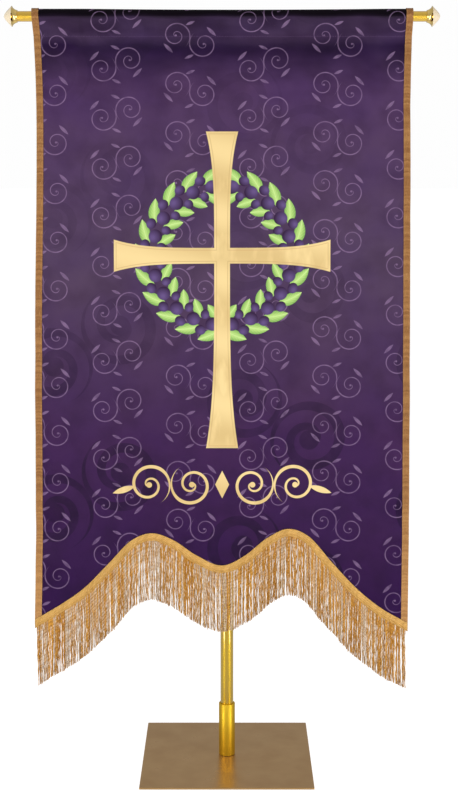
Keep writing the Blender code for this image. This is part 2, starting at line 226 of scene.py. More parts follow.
# Kinds of the sockets whose names don't stand for a plain number
SOCKET_KINDS = {"Place": "NodeSocketVector", "Colour": "NodeSocketColor"}
# Half width of the soft edge of a printed shape, and of a fine drawn line, in metres
EDGE_SOFT = 0.0006
LINE_HALF = 0.0009


@dataclass
class EffectGroup:
    """A shader node group, built once, with the names of its inputs and outputs as words."""

    name: str
    inputs: str
    outputs: str
    draw: Callable[[Tree, Fields], Fields]

    def tree(self) -> Tree:
        """The group's node tree, made at its first use."""
        found = bpy.data.node_groups.get(self.name)
        if found:
            return found
        tree = bpy.data.node_groups.new(self.name, "ShaderNodeTree")
        for way, names in (("INPUT", self.inputs), ("OUTPUT", self.outputs)):
            for name in names.split():
                kind = SOCKET_KINDS.get(name, "NodeSocketFloat")
                tree.interface.new_socket(name, in_out=way, socket_type=kind)
        entry = tree.nodes.new("NodeGroupInput")
        leave = tree.nodes.new("NodeGroupOutput")
        fields = {name: Field(tree, entry.outputs[name]) for name in self.inputs.split()}
        for name, field in self.draw(tree, fields).items():
            feed(tree, field, leave.inputs[name])
        return tree

    def use(self, tree: Tree, **values: Value) -> Fields:
        """Places the group in a tree.

        Args:
            tree: the tree that uses it.
            values: its inputs by name.

        Returns:
            Its outputs by name.
        """
        node = tree.nodes.new("ShaderNodeGroup")
        node.node_tree = self.tree()
        for name, value in values.items():
            feed(tree, value, node.inputs[name])
        return {name: Field(tree, node.outputs[name]) for name in self.outputs.split()}


def draw_leaf(tree: Tree, at: Fields) -> Fields:
    """Pointed leaf along X with a midrib and slanting side veins."""
    along = at["X"] / at["Length"] * 2.0
    half = (-(along * along) + 1.0).most(0.0) * at["Width"] * 0.5
    off = abs(at["Y"])
    leaf = (off - half).remap(-2.0 * EDGE_SOFT, 0.0, 1.0, 0.0, "SMOOTHSTEP")
    midrib = off.under(LINE_HALF, EDGE_SOFT)
    rows = ((at["X"] - off * 1.4) / (at["Length"] * 0.13)).wave()
    veins = rows.remap(0.8, 0.98, 0.0, 0.5)
    shade = (off / half.most(0.001)).remap(0.2, 1.0, 0.0, 1.0)
    return {"Leaf": leaf, "Vein": midrib.most(veins), "Shade": shade}


LEAF = EffectGroup("print_leaf", "X Y Length Width", "Leaf Vein Shade", draw_leaf)


def draw_scroll(tree: Tree, at: Fields) -> Fields:
    """S-shaped scroll along X, whose two halves curl round an eye."""
    turns = 1.75
    side = at["X"].math("SIGN")
    x, y = at["X"] * side - at["Radius"], at["Y"] * side
    reach = length_of(x, y)
    pitch = at["Radius"] / (math.tau * turns)
    start = (math.tau * turns - math.pi) % math.tau
    lag = (reach / pitch - y.math("ARCTAN2", x) - start) / math.tau
    off = abs(lag.fraction() - 0.5) - 0.5
    width = at["Line"] * (reach / at["Radius"]).remap(0.15, 1.0, 0.25, 0.5)
    line = (abs(off) * pitch * math.tau).under(width, EDGE_SOFT)
    inside = reach.under(at["Radius"], EDGE_SOFT)
    eye = reach.under(at["Line"] * 0.8, EDGE_SOFT)
    return {"Line": (line * inside).most(eye)}


SCROLL = EffectGroup("print_scroll", "X Y Radius Line", "Line", draw_scroll)


def draw_half_drop(tree: Tree, at: Fields) -> Fields:
    """Place within a cell of a half-drop repeat, turned over in every second column."""
    column = at["Across"] / at["Width"]
    second = (column.math("FLOOR") * 0.5).fraction() * 2.0
    row = at["Up"] / at["Height"] + second * 0.5
    x = (column.fraction() - 0.5) * at["Width"] * (-(second * 2.0) + 1.0)
    return {"X": x, "Y": (row.fraction() - 0.5) * at["Height"]}


HALF_DROP = EffectGroup("print_half_drop", "Across Up Width Height", "X Y", draw_half_drop)


def draw_berry(tree: Tree, at: Fields) -> Fields:
    """Round berry with a lit side."""
    mask = length_of(at["X"], at["Y"]).under(at["Radius"], EDGE_SOFT)
    light = length_of(at["X"] / at["Radius"] + 0.3, at["Y"] / at["Radius"] - 0.35)
    return {"Berry": mask, "Light": light.remap(0.15, 1.35, 1.0, 0.0)}


BERRY = EffectGroup("print_berry", "X Y Radius", "Berry Light", draw_berry)


def draw_weave(tree: Tree, at: Fields) -> Fields:
    """Threads that cross over and under, as a height from 0 to 1."""
    x, y, _ = parted(tree, at["Place"])
    over = (x / at["Pitch"]).wave() * (y / at["Pitch"] * 0.5).wave()
    slub = noise(tree, joined(tree, x * 30.0, y * 900.0), 1.0, 3.0)
    return {"Height": over * 0.25 + 0.5 + (slub - 0.5) * 0.5}


WEAVE = EffectGroup("cloth_weave", "Place Pitch", "Height", draw_weave)


def draw_marks(tree: Tree, at: Fields) -> Fields:
    """Cloudy polish and fine rubbed lines of lacquered metal, each from 0 to 1."""
    x, y, z = parted(tree, at["Place"])
    cloud = noise(tree, at["Place"], 14.0, 4.0)
    grain = joined(tree, x * at["GrainX"], y * at["GrainY"], z * at["GrainZ"])
    return {"Cloud": cloud, "Rubbed": noise(tree, grain, 1.0, 3.0)}


METAL_MARKS = EffectGroup("metal_marks", "Place GrainX GrainY GrainZ", "Cloud Rubbed", draw_marks)


# ---- Printed design ----


@dataclass(frozen=True)
class PrintDesign:
    """Plain cross in a laurel wreath over scrollwork, placed on the cloth in metres across and up."""

    middle: float = -0.0115
    crossing: float = 1.25
    ring: float = 0.168
    leaf_cells: int = 11
    leaf_length: float = 0.06
    leaf_width: float = 0.027
    leaf_lean: float = 36.0
    leaf_offset: float = 0.027
    berry_radius: float = 0.0165
    arm_half: float = 0.019
    arm_flare: float = 0.02
    arm_across: float = 0.262
    arm_up: float = 0.3
    arm_down: float = 0.47
    flourish_level: float = 0.69
    flourish_radius: float = 0.052
    flourish_line: float = 0.0085
    script_cell: tuple[float, float] = (0.178, 0.118)
    script_radius: float = 0.035
    script_line: float = 0.0031
    damask_cell: tuple[float, float] = (0.46, 0.36)
    damask_radius: float = 0.095
    damask_line: float = 0.03
    gold_light: Colour = (0.7, 0.53, 0.24)
    gold_deep: Colour = (0.46, 0.31, 0.11)
    leaf_light: Colour = (0.36, 0.55, 0.15)
    leaf_deep: Colour = (0.13, 0.3, 0.05)
    berry_light: Colour = (0.095, 0.06, 0.17)
    berry_deep: Colour = (0.018, 0.006, 0.028)
    scroll_colour: Colour = (0.3, 0.19, 0.34)
    # Level on the cloth and the ground's colour there: hem, lower and upper field, top of the field, painted
    # shade below the sleeve, its lower and upper front (painted shade), both ends of the crest (near-black
    # painted shade), back
    ground_and_shade: tuple[tuple[float, Colour], ...] = (
        (0.33, (0.015, 0.001, 0.035)), (0.8, (0.035, 0.01, 0.052)), (1.25, (0.06, 0.036, 0.07)),
        (1.66, (0.057, 0.026, 0.075)), (1.755, (0.01, 0.002, 0.024)), (1.779, (0.04, 0.022, 0.055)),
        (1.825, (0.025, 0.013, 0.036)), (1.829, (0.0005, 0.0003, 0.0008)), (1.854, (0.0005, 0.0003, 0.0008)),
        (1.864, (0.05, 0.021, 0.072)),
    )
    # Noise scale, detail, low and high mark, and the colour that the ground is multiplied by
    clouds: tuple[tuple[float, float, float, float, Colour], ...] = (
        (7.0, 4.0, 0.35, 0.7, (0.8, 0.72, 0.98)), (15.0, 5.0, 0.42, 0.68, (0.76, 0.72, 0.76)),
    )
    # Colour that the painted shade of the folds near the top multiplies the ground by
    fold_shade_colour: Colour = (0.58, 0.48, 0.62)
    damask_colour: Colour = (0.35, 0.3, 0.42)
    vein_colour: Colour = (0.55, 0.7, 0.3)
    crest: float = 1.8265
    crest_waver: float = 0.0019
    crest_waver_length: float = 0.185
    # Level above which the painted fold shade begins
    fold_shade_above: float = 1.6

    def ground_and_shade_colour(self, tree: Tree, across: Field, up: Field) -> Field:
        """Purple ground that deepens down the cloth, with painted shade on the sleeve and near-black painted
        shade over the crest, painted shade in the folds near the top, clouds and broad scrollwork.
        """
        # The waver and the noise shift the level that the ramp reads, so the painted shade over the crest has an
        # uneven edge
        waver = (across / self.crest_waver_length).wave() * self.crest_waver
        uneven = noise(tree, joined(tree, across * 14.0, 0.5), 1.0, 1.0) - 0.5
        base = ramped(tree, up + (waver + uneven * (4.0 * self.crest_waver)), self.ground_and_shade)
        place = joined(tree, across, up)
        # Painted shade of soft folds near the top: stretched noise darkens the ground above a level
        painted_fold_shade = noise(tree, joined(tree, across * 7.0, up * 16.0), 1.0, 2.0).remap(0.42, 0.62, 0.0, 0.9)
        painted_fold_shade = painted_fold_shade * up.remap(self.fold_shade_above, self.fold_shade_above + 0.12, 0.0, 1.0)
        base = shaded(tree, painted_fold_shade, base, self.fold_shade_colour)
        for scale, detail, low, high, colour in self.clouds:
            base = shaded(tree, noise(tree, place, scale, detail).remap(low, high, 0.0, 1.0), base, colour)
        wide, tall = self.damask_cell
        cell = HALF_DROP.use(tree, Across=across + 0.11, Up=up + 0.05, Width=wide, Height=tall)
        x, y = turned(cell["X"], cell["Y"], -32.0)
        swirl = SCROLL.use(tree, X=x, Y=y, Radius=self.damask_radius, Line=self.damask_line)["Line"]
        worn = noise(tree, place, 20.0, 3.0).remap(0.3, 0.6, 0.4, 1.0)
        return shaded(tree, swirl * up.remap(0.75, 1.25, 0.85, 0.22) * worn, base, self.damask_colour)

    def scroll_mask(self, tree: Tree, across: Field, up: Field) -> Field:
        """Fine scrolls with a leaf on each half, in a half-drop repeat."""
        wide, tall = self.script_cell
        cell = HALF_DROP.use(tree, Across=across, Up=up, Width=wide, Height=tall)
        x, y = turned(cell["X"], cell["Y"], 17.0)
        radius = self.script_radius
        mask = SCROLL.use(tree, X=x, Y=y, Radius=radius, Line=self.script_line)["Line"]
        side = x.math("SIGN")
        # Shift across and up as shares of the radius, turn in degrees, length, width
        for over, rise, turn, long, thick in (
            (1.25, -0.98, 28.0, 0.034, 0.009), (0.3, 1.12, -40.0, 0.026, 0.008),
        ):
            leaf_x, leaf_y = turned(x * side - radius * over, y * side - radius * rise, turn)
            mask = mask.most(LEAF.use(tree, X=leaf_x, Y=leaf_y, Length=long, Width=thick)["Leaf"])
        return mask * noise(tree, joined(tree, across, up), 60.0, 3.0).remap(0.3, 0.6, 0.45, 1.0)

    def gold_masks(self, tree: Tree, x: Field, y: Field) -> tuple[Field, Field]:
        """The cross and the flourish below it.

        Args:
            tree: the tree to draw in.
            x: distance from the design's middle line.
            y: height above the crossing.

        Returns:
            The gold's mask, and a mask of its engraved inner line.
        """
        up_share = y.remap(0.0, self.arm_up, 0.0, 1.0)
        down_share = (-y).remap(0.0, self.arm_down, 0.0, 1.0)
        upright = up_share.most(down_share).power(4.0) * self.arm_flare + self.arm_half - x
        upright = upright.least(-(y) + self.arm_up).least(y + self.arm_down)
        arms = (x / self.arm_across).power(4.0) * self.arm_flare + self.arm_half - abs(y)
        inner = upright.most(arms.least(-(x) + self.arm_across))
        cross = inner.remap(-EDGE_SOFT, EDGE_SOFT, 0.0, 1.0)
        line = abs(inner - 0.0055).under(LINE_HALF, EDGE_SOFT)
        level = y - (self.flourish_level - self.crossing)
        radius = self.flourish_radius
        start = radius * 2.0 + 0.022
        scroll = SCROLL.use(tree, X=x - start, Y=level, Radius=radius, Line=self.flourish_line)["Line"]
        tip_x, tip_y = turned(x - start * 1.9, level + 0.012, -18.0)
        tip = LEAF.use(tree, X=tip_x, Y=tip_y, Length=0.06, Width=0.016)["Leaf"]
        heart = (x / 0.017 + abs(level) / 0.034).remap(0.97, 1.03, 1.0, 0.0)
        return cross.most(scroll).most(tip).most(heart), line

    def paint(self, tree: Tree, at: Fields) -> Fields:
        """Draws the whole print over the cloth's own map.

        Args:
            tree: the tree to draw in.
            at: the place on the cloth.

        Returns:
            The colour, the mask of the gold ink and that of the crest, where the gloss ends.
        """
        across, up, _ = parted(tree, at["Place"])
        colour = self.ground_and_shade_colour(tree, across, up)
        colour = tinted(tree, self.scroll_mask(tree, across, up) * 0.42, colour, self.scroll_colour)
        x, y = abs(across - self.middle), up - self.crossing
        colour = self.wreath(tree, x, y, colour)
        gold, line = self.gold_masks(tree, x, y)
        foil = noise(tree, joined(tree, across, up * 0.35), 26.0, 3.0).remap(0.3, 0.7, 0.0, 1.0)
        slope = (up * 6.5 + across * 1.5).wave().remap(-1.0, 1.0, 0.0, 0.6)
        ink = tinted(tree, foil.least(slope), self.gold_light, self.gold_deep)
        ink = tinted(tree, line * 0.65, ink, self.gold_deep)
        dull = up.remap(self.crest - 0.002, self.crest + 0.002, 0.0, 1.0)
        dull = dull * up.remap(self.crest + 0.028, self.crest + 0.038, 1.0, 0.0)
        return {"Colour": tinted(tree, gold, colour, ink), "Gold": gold, "Dull": dull}

    def wreath(self, tree: Tree, x: Field, y: Field, colour: Field) -> Field:
        """Lays the wreath's leaves and berries over a colour."""
        reach = length_of(x, y) - self.ring
        turns = x.math("ARCTAN2", -y) * (self.leaf_cells / math.pi)
        arc = math.pi * self.ring / self.leaf_cells
        along = (turns.fraction() - 0.5) * arc
        for side in (-1.0, 1.0):
            leaf_x, leaf_y = turned(along, reach - side * self.leaf_offset, side * self.leaf_lean)
            leaf = LEAF.use(tree, X=leaf_x, Y=leaf_y, Length=self.leaf_length, Width=self.leaf_width)
            green = tinted(tree, leaf["Shade"], self.leaf_light, self.leaf_deep)
            green = tinted(tree, leaf["Vein"] * 0.55, green, self.vein_colour)
            colour = tinted(tree, leaf["Leaf"], colour, green)
        for shift, offset, size in ((0.0, 0.0, 1.0), (0.5, 0.02, 0.72), (0.5, -0.02, 0.72)):
            berry_x = ((turns + shift).fraction() - 0.5) * arc
            radius = self.berry_radius * size
            berry = BERRY.use(tree, X=berry_x, Y=reach - offset, Radius=radius)
            skin = tinted(tree, berry["Light"], self.berry_deep, self.berry_light)
            colour = tinted(tree, berry["Berry"], colour, skin)
        return colour


BANNER_PRINT = EffectGroup("banner_print", "Place", "Colour Gold Dull", PrintDesign().paint)


# ---- Finishes ----


CLOTH_MAP = "cloth_metres"


@dataclass(frozen=True)
class Dress:
    """A new material with its shader at hand."""

    material: Material

    @classmethod
    def named(cls, name: str) -> "Dress":
        """Starts a material with a Principled shader."""
        material = bpy.data.materials.new(name)
        material.use_nodes = True
        return cls(material)

    @property
    def tree(self) -> Tree:
        """The material's node tree."""
        return self.material.node_tree

    def set(self, **values: "Field | float | Colour") -> None:
        """Sets the shader's inputs by name, with spaces as underlines."""
        shader = self.tree.nodes["Principled BSDF"]
        for name, value in values.items():
            slot = shader.inputs[name.replace("_", " ")]
            if isinstance(value, tuple):
                value = (*value, 1.0)
            feed(self.tree, value, slot)

    def place(self, on_map: bool) -> Field:
        """The surface's own map in metres, or the place in the object."""
        if on_map:
            node = self.tree.nodes.new("ShaderNodeUVMap")
            node.uv_map = CLOTH_MAP
            return Field(self.tree, node.outputs["UV"])
        node = self.tree.nodes.new("ShaderNodeTexCoord")
        return Field(self.tree, node.outputs["Object"])

    def raise_by(self, height: Field, depth: float) -> None:
        """Bumps the surface by a height from 0 to 1 times a depth in metres."""
        bump = self.tree.nodes.new("ShaderNodeBump")
        bump.inputs["Distance"].default_value = depth
        feed(self.tree, height, bump.inputs["Height"])
        self.set(Normal=Field(self.tree, bump.outputs["Normal"]))


@dataclass(frozen=True)
class SatinFinish:
    """Soft polyester satin, printed on its face and plain behind."""

    roughness: float = 0.33
    gold_roughness: float = 0.34
    crest_roughness: float = 0.95
    gloss: float = 0.18
    gloss_tint: Colour = (0.9, 0.62, 1.0)
    weave_pitch: float = 0.0011
    weave_depth: float = 0.00012
    crush_depth: float = 0.0011
    back_colour: Colour = (0.066, 0.03, 0.094)
    back_deep: Colour = (0.042, 0.017, 0.062)

    def drape(self, dress: Dress, place: Field) -> None:
        """Adds the weave and the faint handling marks that both sides share."""
        weave = WEAVE.use(dress.tree, Place=place, Pitch=self.weave_pitch)
        crush = noise(dress.tree, place, 17.0, 2.0)
        share = self.weave_depth / self.crush_depth
        dress.raise_by(crush + weave["Height"] * share, self.crush_depth)
        dress.set(Specular_IOR_Level=self.gloss, Specular_Tint=self.gloss_tint)

    def printed(self) -> Material:
        """The face."""
        dress = Dress.named("satin_printed")
        place = dress.place(on_map=True)
        print_fields = BANNER_PRINT.use(dress.tree, Place=place)
        roughness = print_fields["Gold"].remap(0.0, 1.0, self.roughness, self.gold_roughness)
        roughness = roughness.most(print_fields["Dull"] * self.crest_roughness)
        dress.set(Base_Color=print_fields["Colour"], Roughness=roughness)
        self.drape(dress, place)
        return dress.material

    def plain(self) -> Material:
        """The back, where the ink shows only as a faint unevenness."""
        dress = Dress.named("satin_back")
        place = dress.place(on_map=True)
        cloud = noise(dress.tree, place, 8.0, 4.0).remap(0.3, 0.7, 0.0, 0.5)
        colour = tinted(dress.tree, cloud, self.back_colour, self.back_deep)
        dress.set(Base_Color=colour, Roughness=self.roughness)
        self.drape(dress, place)
        return dress.material


@dataclass(frozen=True)
class YarnFinish:
    """Shiny rayon yarn, whose tone changes from thread to thread."""

    name: str
    light: Colour
    deep: Colour
    pale: Colour
    pale_share: float
    twist_pitch: float
    twist_depth: float
    # Share by which the twist's grooves are darkened, as painted shade
    groove_shade: float = 0.55
    roughness: float = 0.42
    gloss: float = 0.35

    def material(self) -> Material:
        """Yarn that reads its tone from the piece's tint and its twist from the piece's map."""
        dress = Dress.named(self.name)
        tree = dress.tree
        across, along, _ = parted(tree, dress.place(on_map=True))
        reader = tree.nodes.new("ShaderNodeAttribute")
        reader.attribute_name = "tint"
        tint = Field(tree, reader.outputs["Fac"])
        fibre = noise(tree, joined(tree, across * 9.0, along * 60.0, tint * 40.0), 1.0, 3.0)
        ply = (across * 2.0 + along / self.twist_pitch).wave()
        dark = 1.0 - self.pale_share
        colour = tinted(tree, tint.remap(0.0, dark, 0.0, 1.0), self.light, self.deep)
        colour = tinted(tree, tint.remap(dark, dark + 0.01, 0.0, 0.85), colour, self.pale)
        # Painted shade in the grooves between the twist's plies
        groove_shade = ply.remap(-1.0, -0.1, self.groove_shade, 0.0)
        colour = tinted(tree, groove_shade, colour, tuple(0.35 * part for part in self.deep))
        colour = tinted(tree, fibre.remap(0.55, 0.75, 0.0, 0.35), colour, self.pale)
        dress.set(Base_Color=colour, Roughness=self.roughness)
        dress.set(Specular_IOR_Level=self.gloss, Specular_Tint=self.light)
        dress.raise_by(ply * 0.5 + fibre, self.twist_depth)
        return dress.material


@dataclass(frozen=True)
class MetalFinish:
    """Plated metal with a cloudy polish and fine rubbed lines, under a clear lacquer where it has one."""

    name: str
    colour: Colour
    dull_colour: Colour
    roughness: tuple[float, float]
    grain: tuple[float, float, float]
    metallic: float = 1.0
    lacquer: float = 0.0
    lacquer_index: float = 1.75
    lacquer_roughness: float = 0.06
    depth: float = 0.00003

    def material(self) -> Material:
        """The metal on the piece's own coordinates."""
        dress = Dress.named(self.name)
        axes = {f"Grain{axis}": value for axis, value in zip("XYZ", self.grain)}
        marks = METAL_MARKS.use(dress.tree, Place=dress.place(on_map=False), **axes)
        worn = marks["Cloud"].remap(0.35, 0.68, 0.0, 1.0) * 0.7 + marks["Rubbed"] * 0.3
        colour = tinted(dress.tree, worn, self.colour, self.dull_colour)
        dress.set(Base_Color=colour, Roughness=worn.remap(0.0, 1.0, *self.roughness), Metallic=self.metallic)
        dress.set(Coat_Weight=self.lacquer, Coat_IOR=self.lacquer_index)
        dress.set(Coat_Roughness=self.lacquer_roughness)
        dress.raise_by(marks["Rubbed"], self.depth)
        return dress.material


FRINGE_YARN = YarnFinish(
    "fringe_yarn", (0.7, 0.35, 0.065), (0.4, 0.165, 0.022), (0.7, 0.57, 0.43), 0.36, 0.009, 0.0006, 0.65,
)
HEADER_YARN = YarnFinish(
    "header_yarn", (0.76, 0.45, 0.14), (0.42, 0.215, 0.05), (0.86, 0.62, 0.32), 0.04, 0.0032, 0.0005, 0.75,
)
BRAID_YARN = YarnFinish(
    "braid_yarn", (0.58, 0.31, 0.115), (0.235, 0.1, 0.036), (0.6, 0.38, 0.16), 0.02, 0.0026, 0.0004, 0.75,
)
SEWING_THREAD = YarnFinish(
    "sewing_thread", (0.1, 0.05, 0.13), (0.06, 0.03, 0.08), (0.16, 0.1, 0.19), 0.2, 0.0009, 0.0001,
)
POLE_BRASS = MetalFinish(
    "pole_brass", (0.74, 0.48, 0.004), (0.67, 0.425, 0.004), (0.34, 0.42), (500.0, 500.0, 6.0), lacquer=1.0,
)
SOCKET_BRASS = MetalFinish(
    "socket_brass", (0.73, 0.48, 0.033), (0.65, 0.405, 0.026), (0.44, 0.54), (500.0, 500.0, 6.0),
)
BAR_BRASS = MetalFinish(
    "bar_brass", (0.9, 0.56, 0.03), (0.8, 0.47, 0.025), (0.26, 0.34), (6.0, 500.0, 500.0), lacquer=1.0,
)
FLARE_GOLD = MetalFinish(
    "flare_gold", (0.9, 0.66, 0.24), (0.82, 0.58, 0.18), (0.06, 0.12), (90.0, 90.0, 90.0),
)
CONE_GOLD = MetalFinish(
    "cone_gold", (0.92, 0.79, 0.58), (0.86, 0.7, 0.48), (0.24, 0.34), (90.0, 90.0, 90.0), metallic=0.3,
)
PLATE_BRONZE = MetalFinish(
    "plate_bronze", (0.5, 0.3, 0.115), (0.43, 0.25, 0.095), (0.26, 0.38), (30.0, 420.0, 90.0),
    metallic=0.8, depth=0.00005,
)


# ---- Making pieces ----


def link(name: str, data: bpy.types.ID) -> Item:
    """Adds an object with its data to the scene."""
    item = bpy.data.objects.new(name, data)
    bpy.context.scene.collection.objects.link(item)
    return item


def closed_mesh(name: str, shape: bmesh.types.BMesh) -> bpy.types.Mesh:
    """Turns a bmesh into a mesh and frees it."""
    mesh = bpy.data.meshes.new(name)
    shape.to_mesh(mesh)
    shape.free()
    return mesh


def add_copy(shape: bmesh.types.BMesh, mesh: bpy.types.Mesh) -> Sequence[bmesh.types.BMVert]:
    """Adds a mesh to a bmesh and returns its fresh vertices."""
    shape.from_mesh(mesh)
    shape.verts.ensure_lookup_table()
    return shape.verts[-len(mesh.vertices):]


def make_object(
    name: str, shape: bmesh.types.BMesh, material: Material, sharp: float | None,
) -> Item:
    """Turns a bmesh into a linked object.

    Args:
        name: the object's name.
        shape: its bmesh, which is freed.
        material: its finish.
        sharp: degrees from which edges stay sharp, or None for flat faces.

    Returns:
        The object.
    """
    mesh = closed_mesh(name, shape)
    mesh.materials.append(material)
    if sharp is not None:
        mesh.shade_smooth()
        mesh.set_sharp_from_angle(angle=math.radians(sharp))
    return link(name, mesh)


def set_on_root(item: Item, slot: Slot, *nodes: str) -> None:
    """Lets a piece ride on the part's one body, in place of the named nodes."""
    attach(item, "root")
    if nodes:
        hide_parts(*nodes)
    log.info("%s: %d faces", item.name, len(item.data.polygons))


def laid_grid(
    name: str, points: np.ndarray, flat: np.ndarray, materials: Sequence[Material],
    tint: np.ndarray | None = None,
) -> Item:
    """Lays a grid of quads on a sheet of points.

    Args:
        name: the object's name.
        points: places, as rows by columns by 3.
        flat: the sheet's own map in metres, as rows by columns by 2.
        materials: the object's finishes.
        tint: the yarn's tone from 0 to 1, as rows by columns, or None.

    Returns:
        The object, with the map and the tint on it.
    """
    rows, columns = points.shape[:2]
    shape = bmesh.new()
    bmesh.ops.create_grid(shape, x_segments=columns - 1, y_segments=rows - 1, size=0.5)
    mesh = closed_mesh(name, shape)
    places = np.empty(len(mesh.vertices) * 3)
    mesh.vertices.foreach_get("co", places)
    places = places.reshape(-1, 3)
    column = np.rint((places[:, 0] + 0.5) * (columns - 1)).astype(int)
    row = np.rint((places[:, 1] + 0.5) * (rows - 1)).astype(int)
    mesh.vertices.foreach_set("co", points[row, column].ravel())
    corner = np.empty(len(mesh.loops), dtype=np.int32)
    mesh.loops.foreach_get("vertex_index", corner)
    layer = mesh.uv_layers.new(name=CLOTH_MAP)
    layer.uv.foreach_set("vector", flat[row, column][corner].ravel())
    if tint is not None:
        tones = mesh.attributes.new("tint", "FLOAT", "POINT")
        tones.data.foreach_set("value", tint[row, column].astype(np.float32))
    for material in materials:
        mesh.materials.append(material)
    mesh.shade_smooth()
    return link(name, mesh)


def turn_to_front(sheet: Item) -> None:
    """Turns the faces of a sheet so that its lowest ones look to the front."""
    shape = bmesh.new()
    shape.from_mesh(sheet.data)
    shape.faces.ensure_lookup_table()
    if min(shape.faces, key=lambda face: face.calc_center_median().z).normal.y > 0:
        bmesh.ops.reverse_faces(shape, faces=shape.faces)
    shape.to_mesh(sheet.data)
    shape.free()


def thicken(item: Item, thickness: float, offset: float, back: int = 0) -> None:
    """Gives a sheet its thickness.

    Args:
        item: the sheet.
        thickness: its thickness in metres.
        offset: 0 to stay in the middle, -1 to grow inwards only.
        back: how many material slots further on the inner side's finish is.
    """
    step = item.modifiers.new("thickness", "SOLIDIFY")
    step.thickness = thickness
    step.offset = offset
    step.material_offset = back


def laid_band(
    name: str, points: np.ndarray, flat: np.ndarray, material: Material, tint: np.ndarray,
    thickness: float,
) -> Item:
    """Lays a band of yarn on the places of its front and thickens it towards the cloth."""
    band = laid_grid(name, points, flat, [material], tint)
    turn_to_front(band)
    thicken(band, thickness, -1.0)
    return band


def facing(points: np.ndarray) -> np.ndarray:
    """Unit normals of a sheet of points whose columns run to +X and whose rows run down its face."""
    across = np.gradient(points, axis=1)
    down = np.gradient(points, axis=0)
    normals = np.cross(down, across)
    return normals / np.linalg.norm(normals, axis=2, keepdims=True)


def smooth_line(table: np.ndarray, places: np.ndarray) -> np.ndarray:
    """Smooth curve through the points of a table.

    Args:
        table: rows of (place, value), with rising places.
        places: where the curve is read; the ends are held.

    Returns:
        The curve's values.
    """
    slopes = np.gradient(table[:, 1], table[:, 0])
    places = np.clip(places, table[0, 0], table[-1, 0])
    left = np.clip(np.searchsorted(table[:, 0], places, side="right") - 1, 0, len(table) - 2)
    span = table[left + 1, 0] - table[left, 0]
    t = (places - table[left, 0]) / span
    start = (2 * t**3 - 3 * t**2 + 1) * table[left, 1] + (t**3 - 2 * t**2 + t) * span * slopes[left]
    stop = (3 * t**2 - 2 * t**3) * table[left + 1, 1] + (t**3 - t**2) * span * slopes[left + 1]
    return start + stop


# ---- How the banner hangs ----


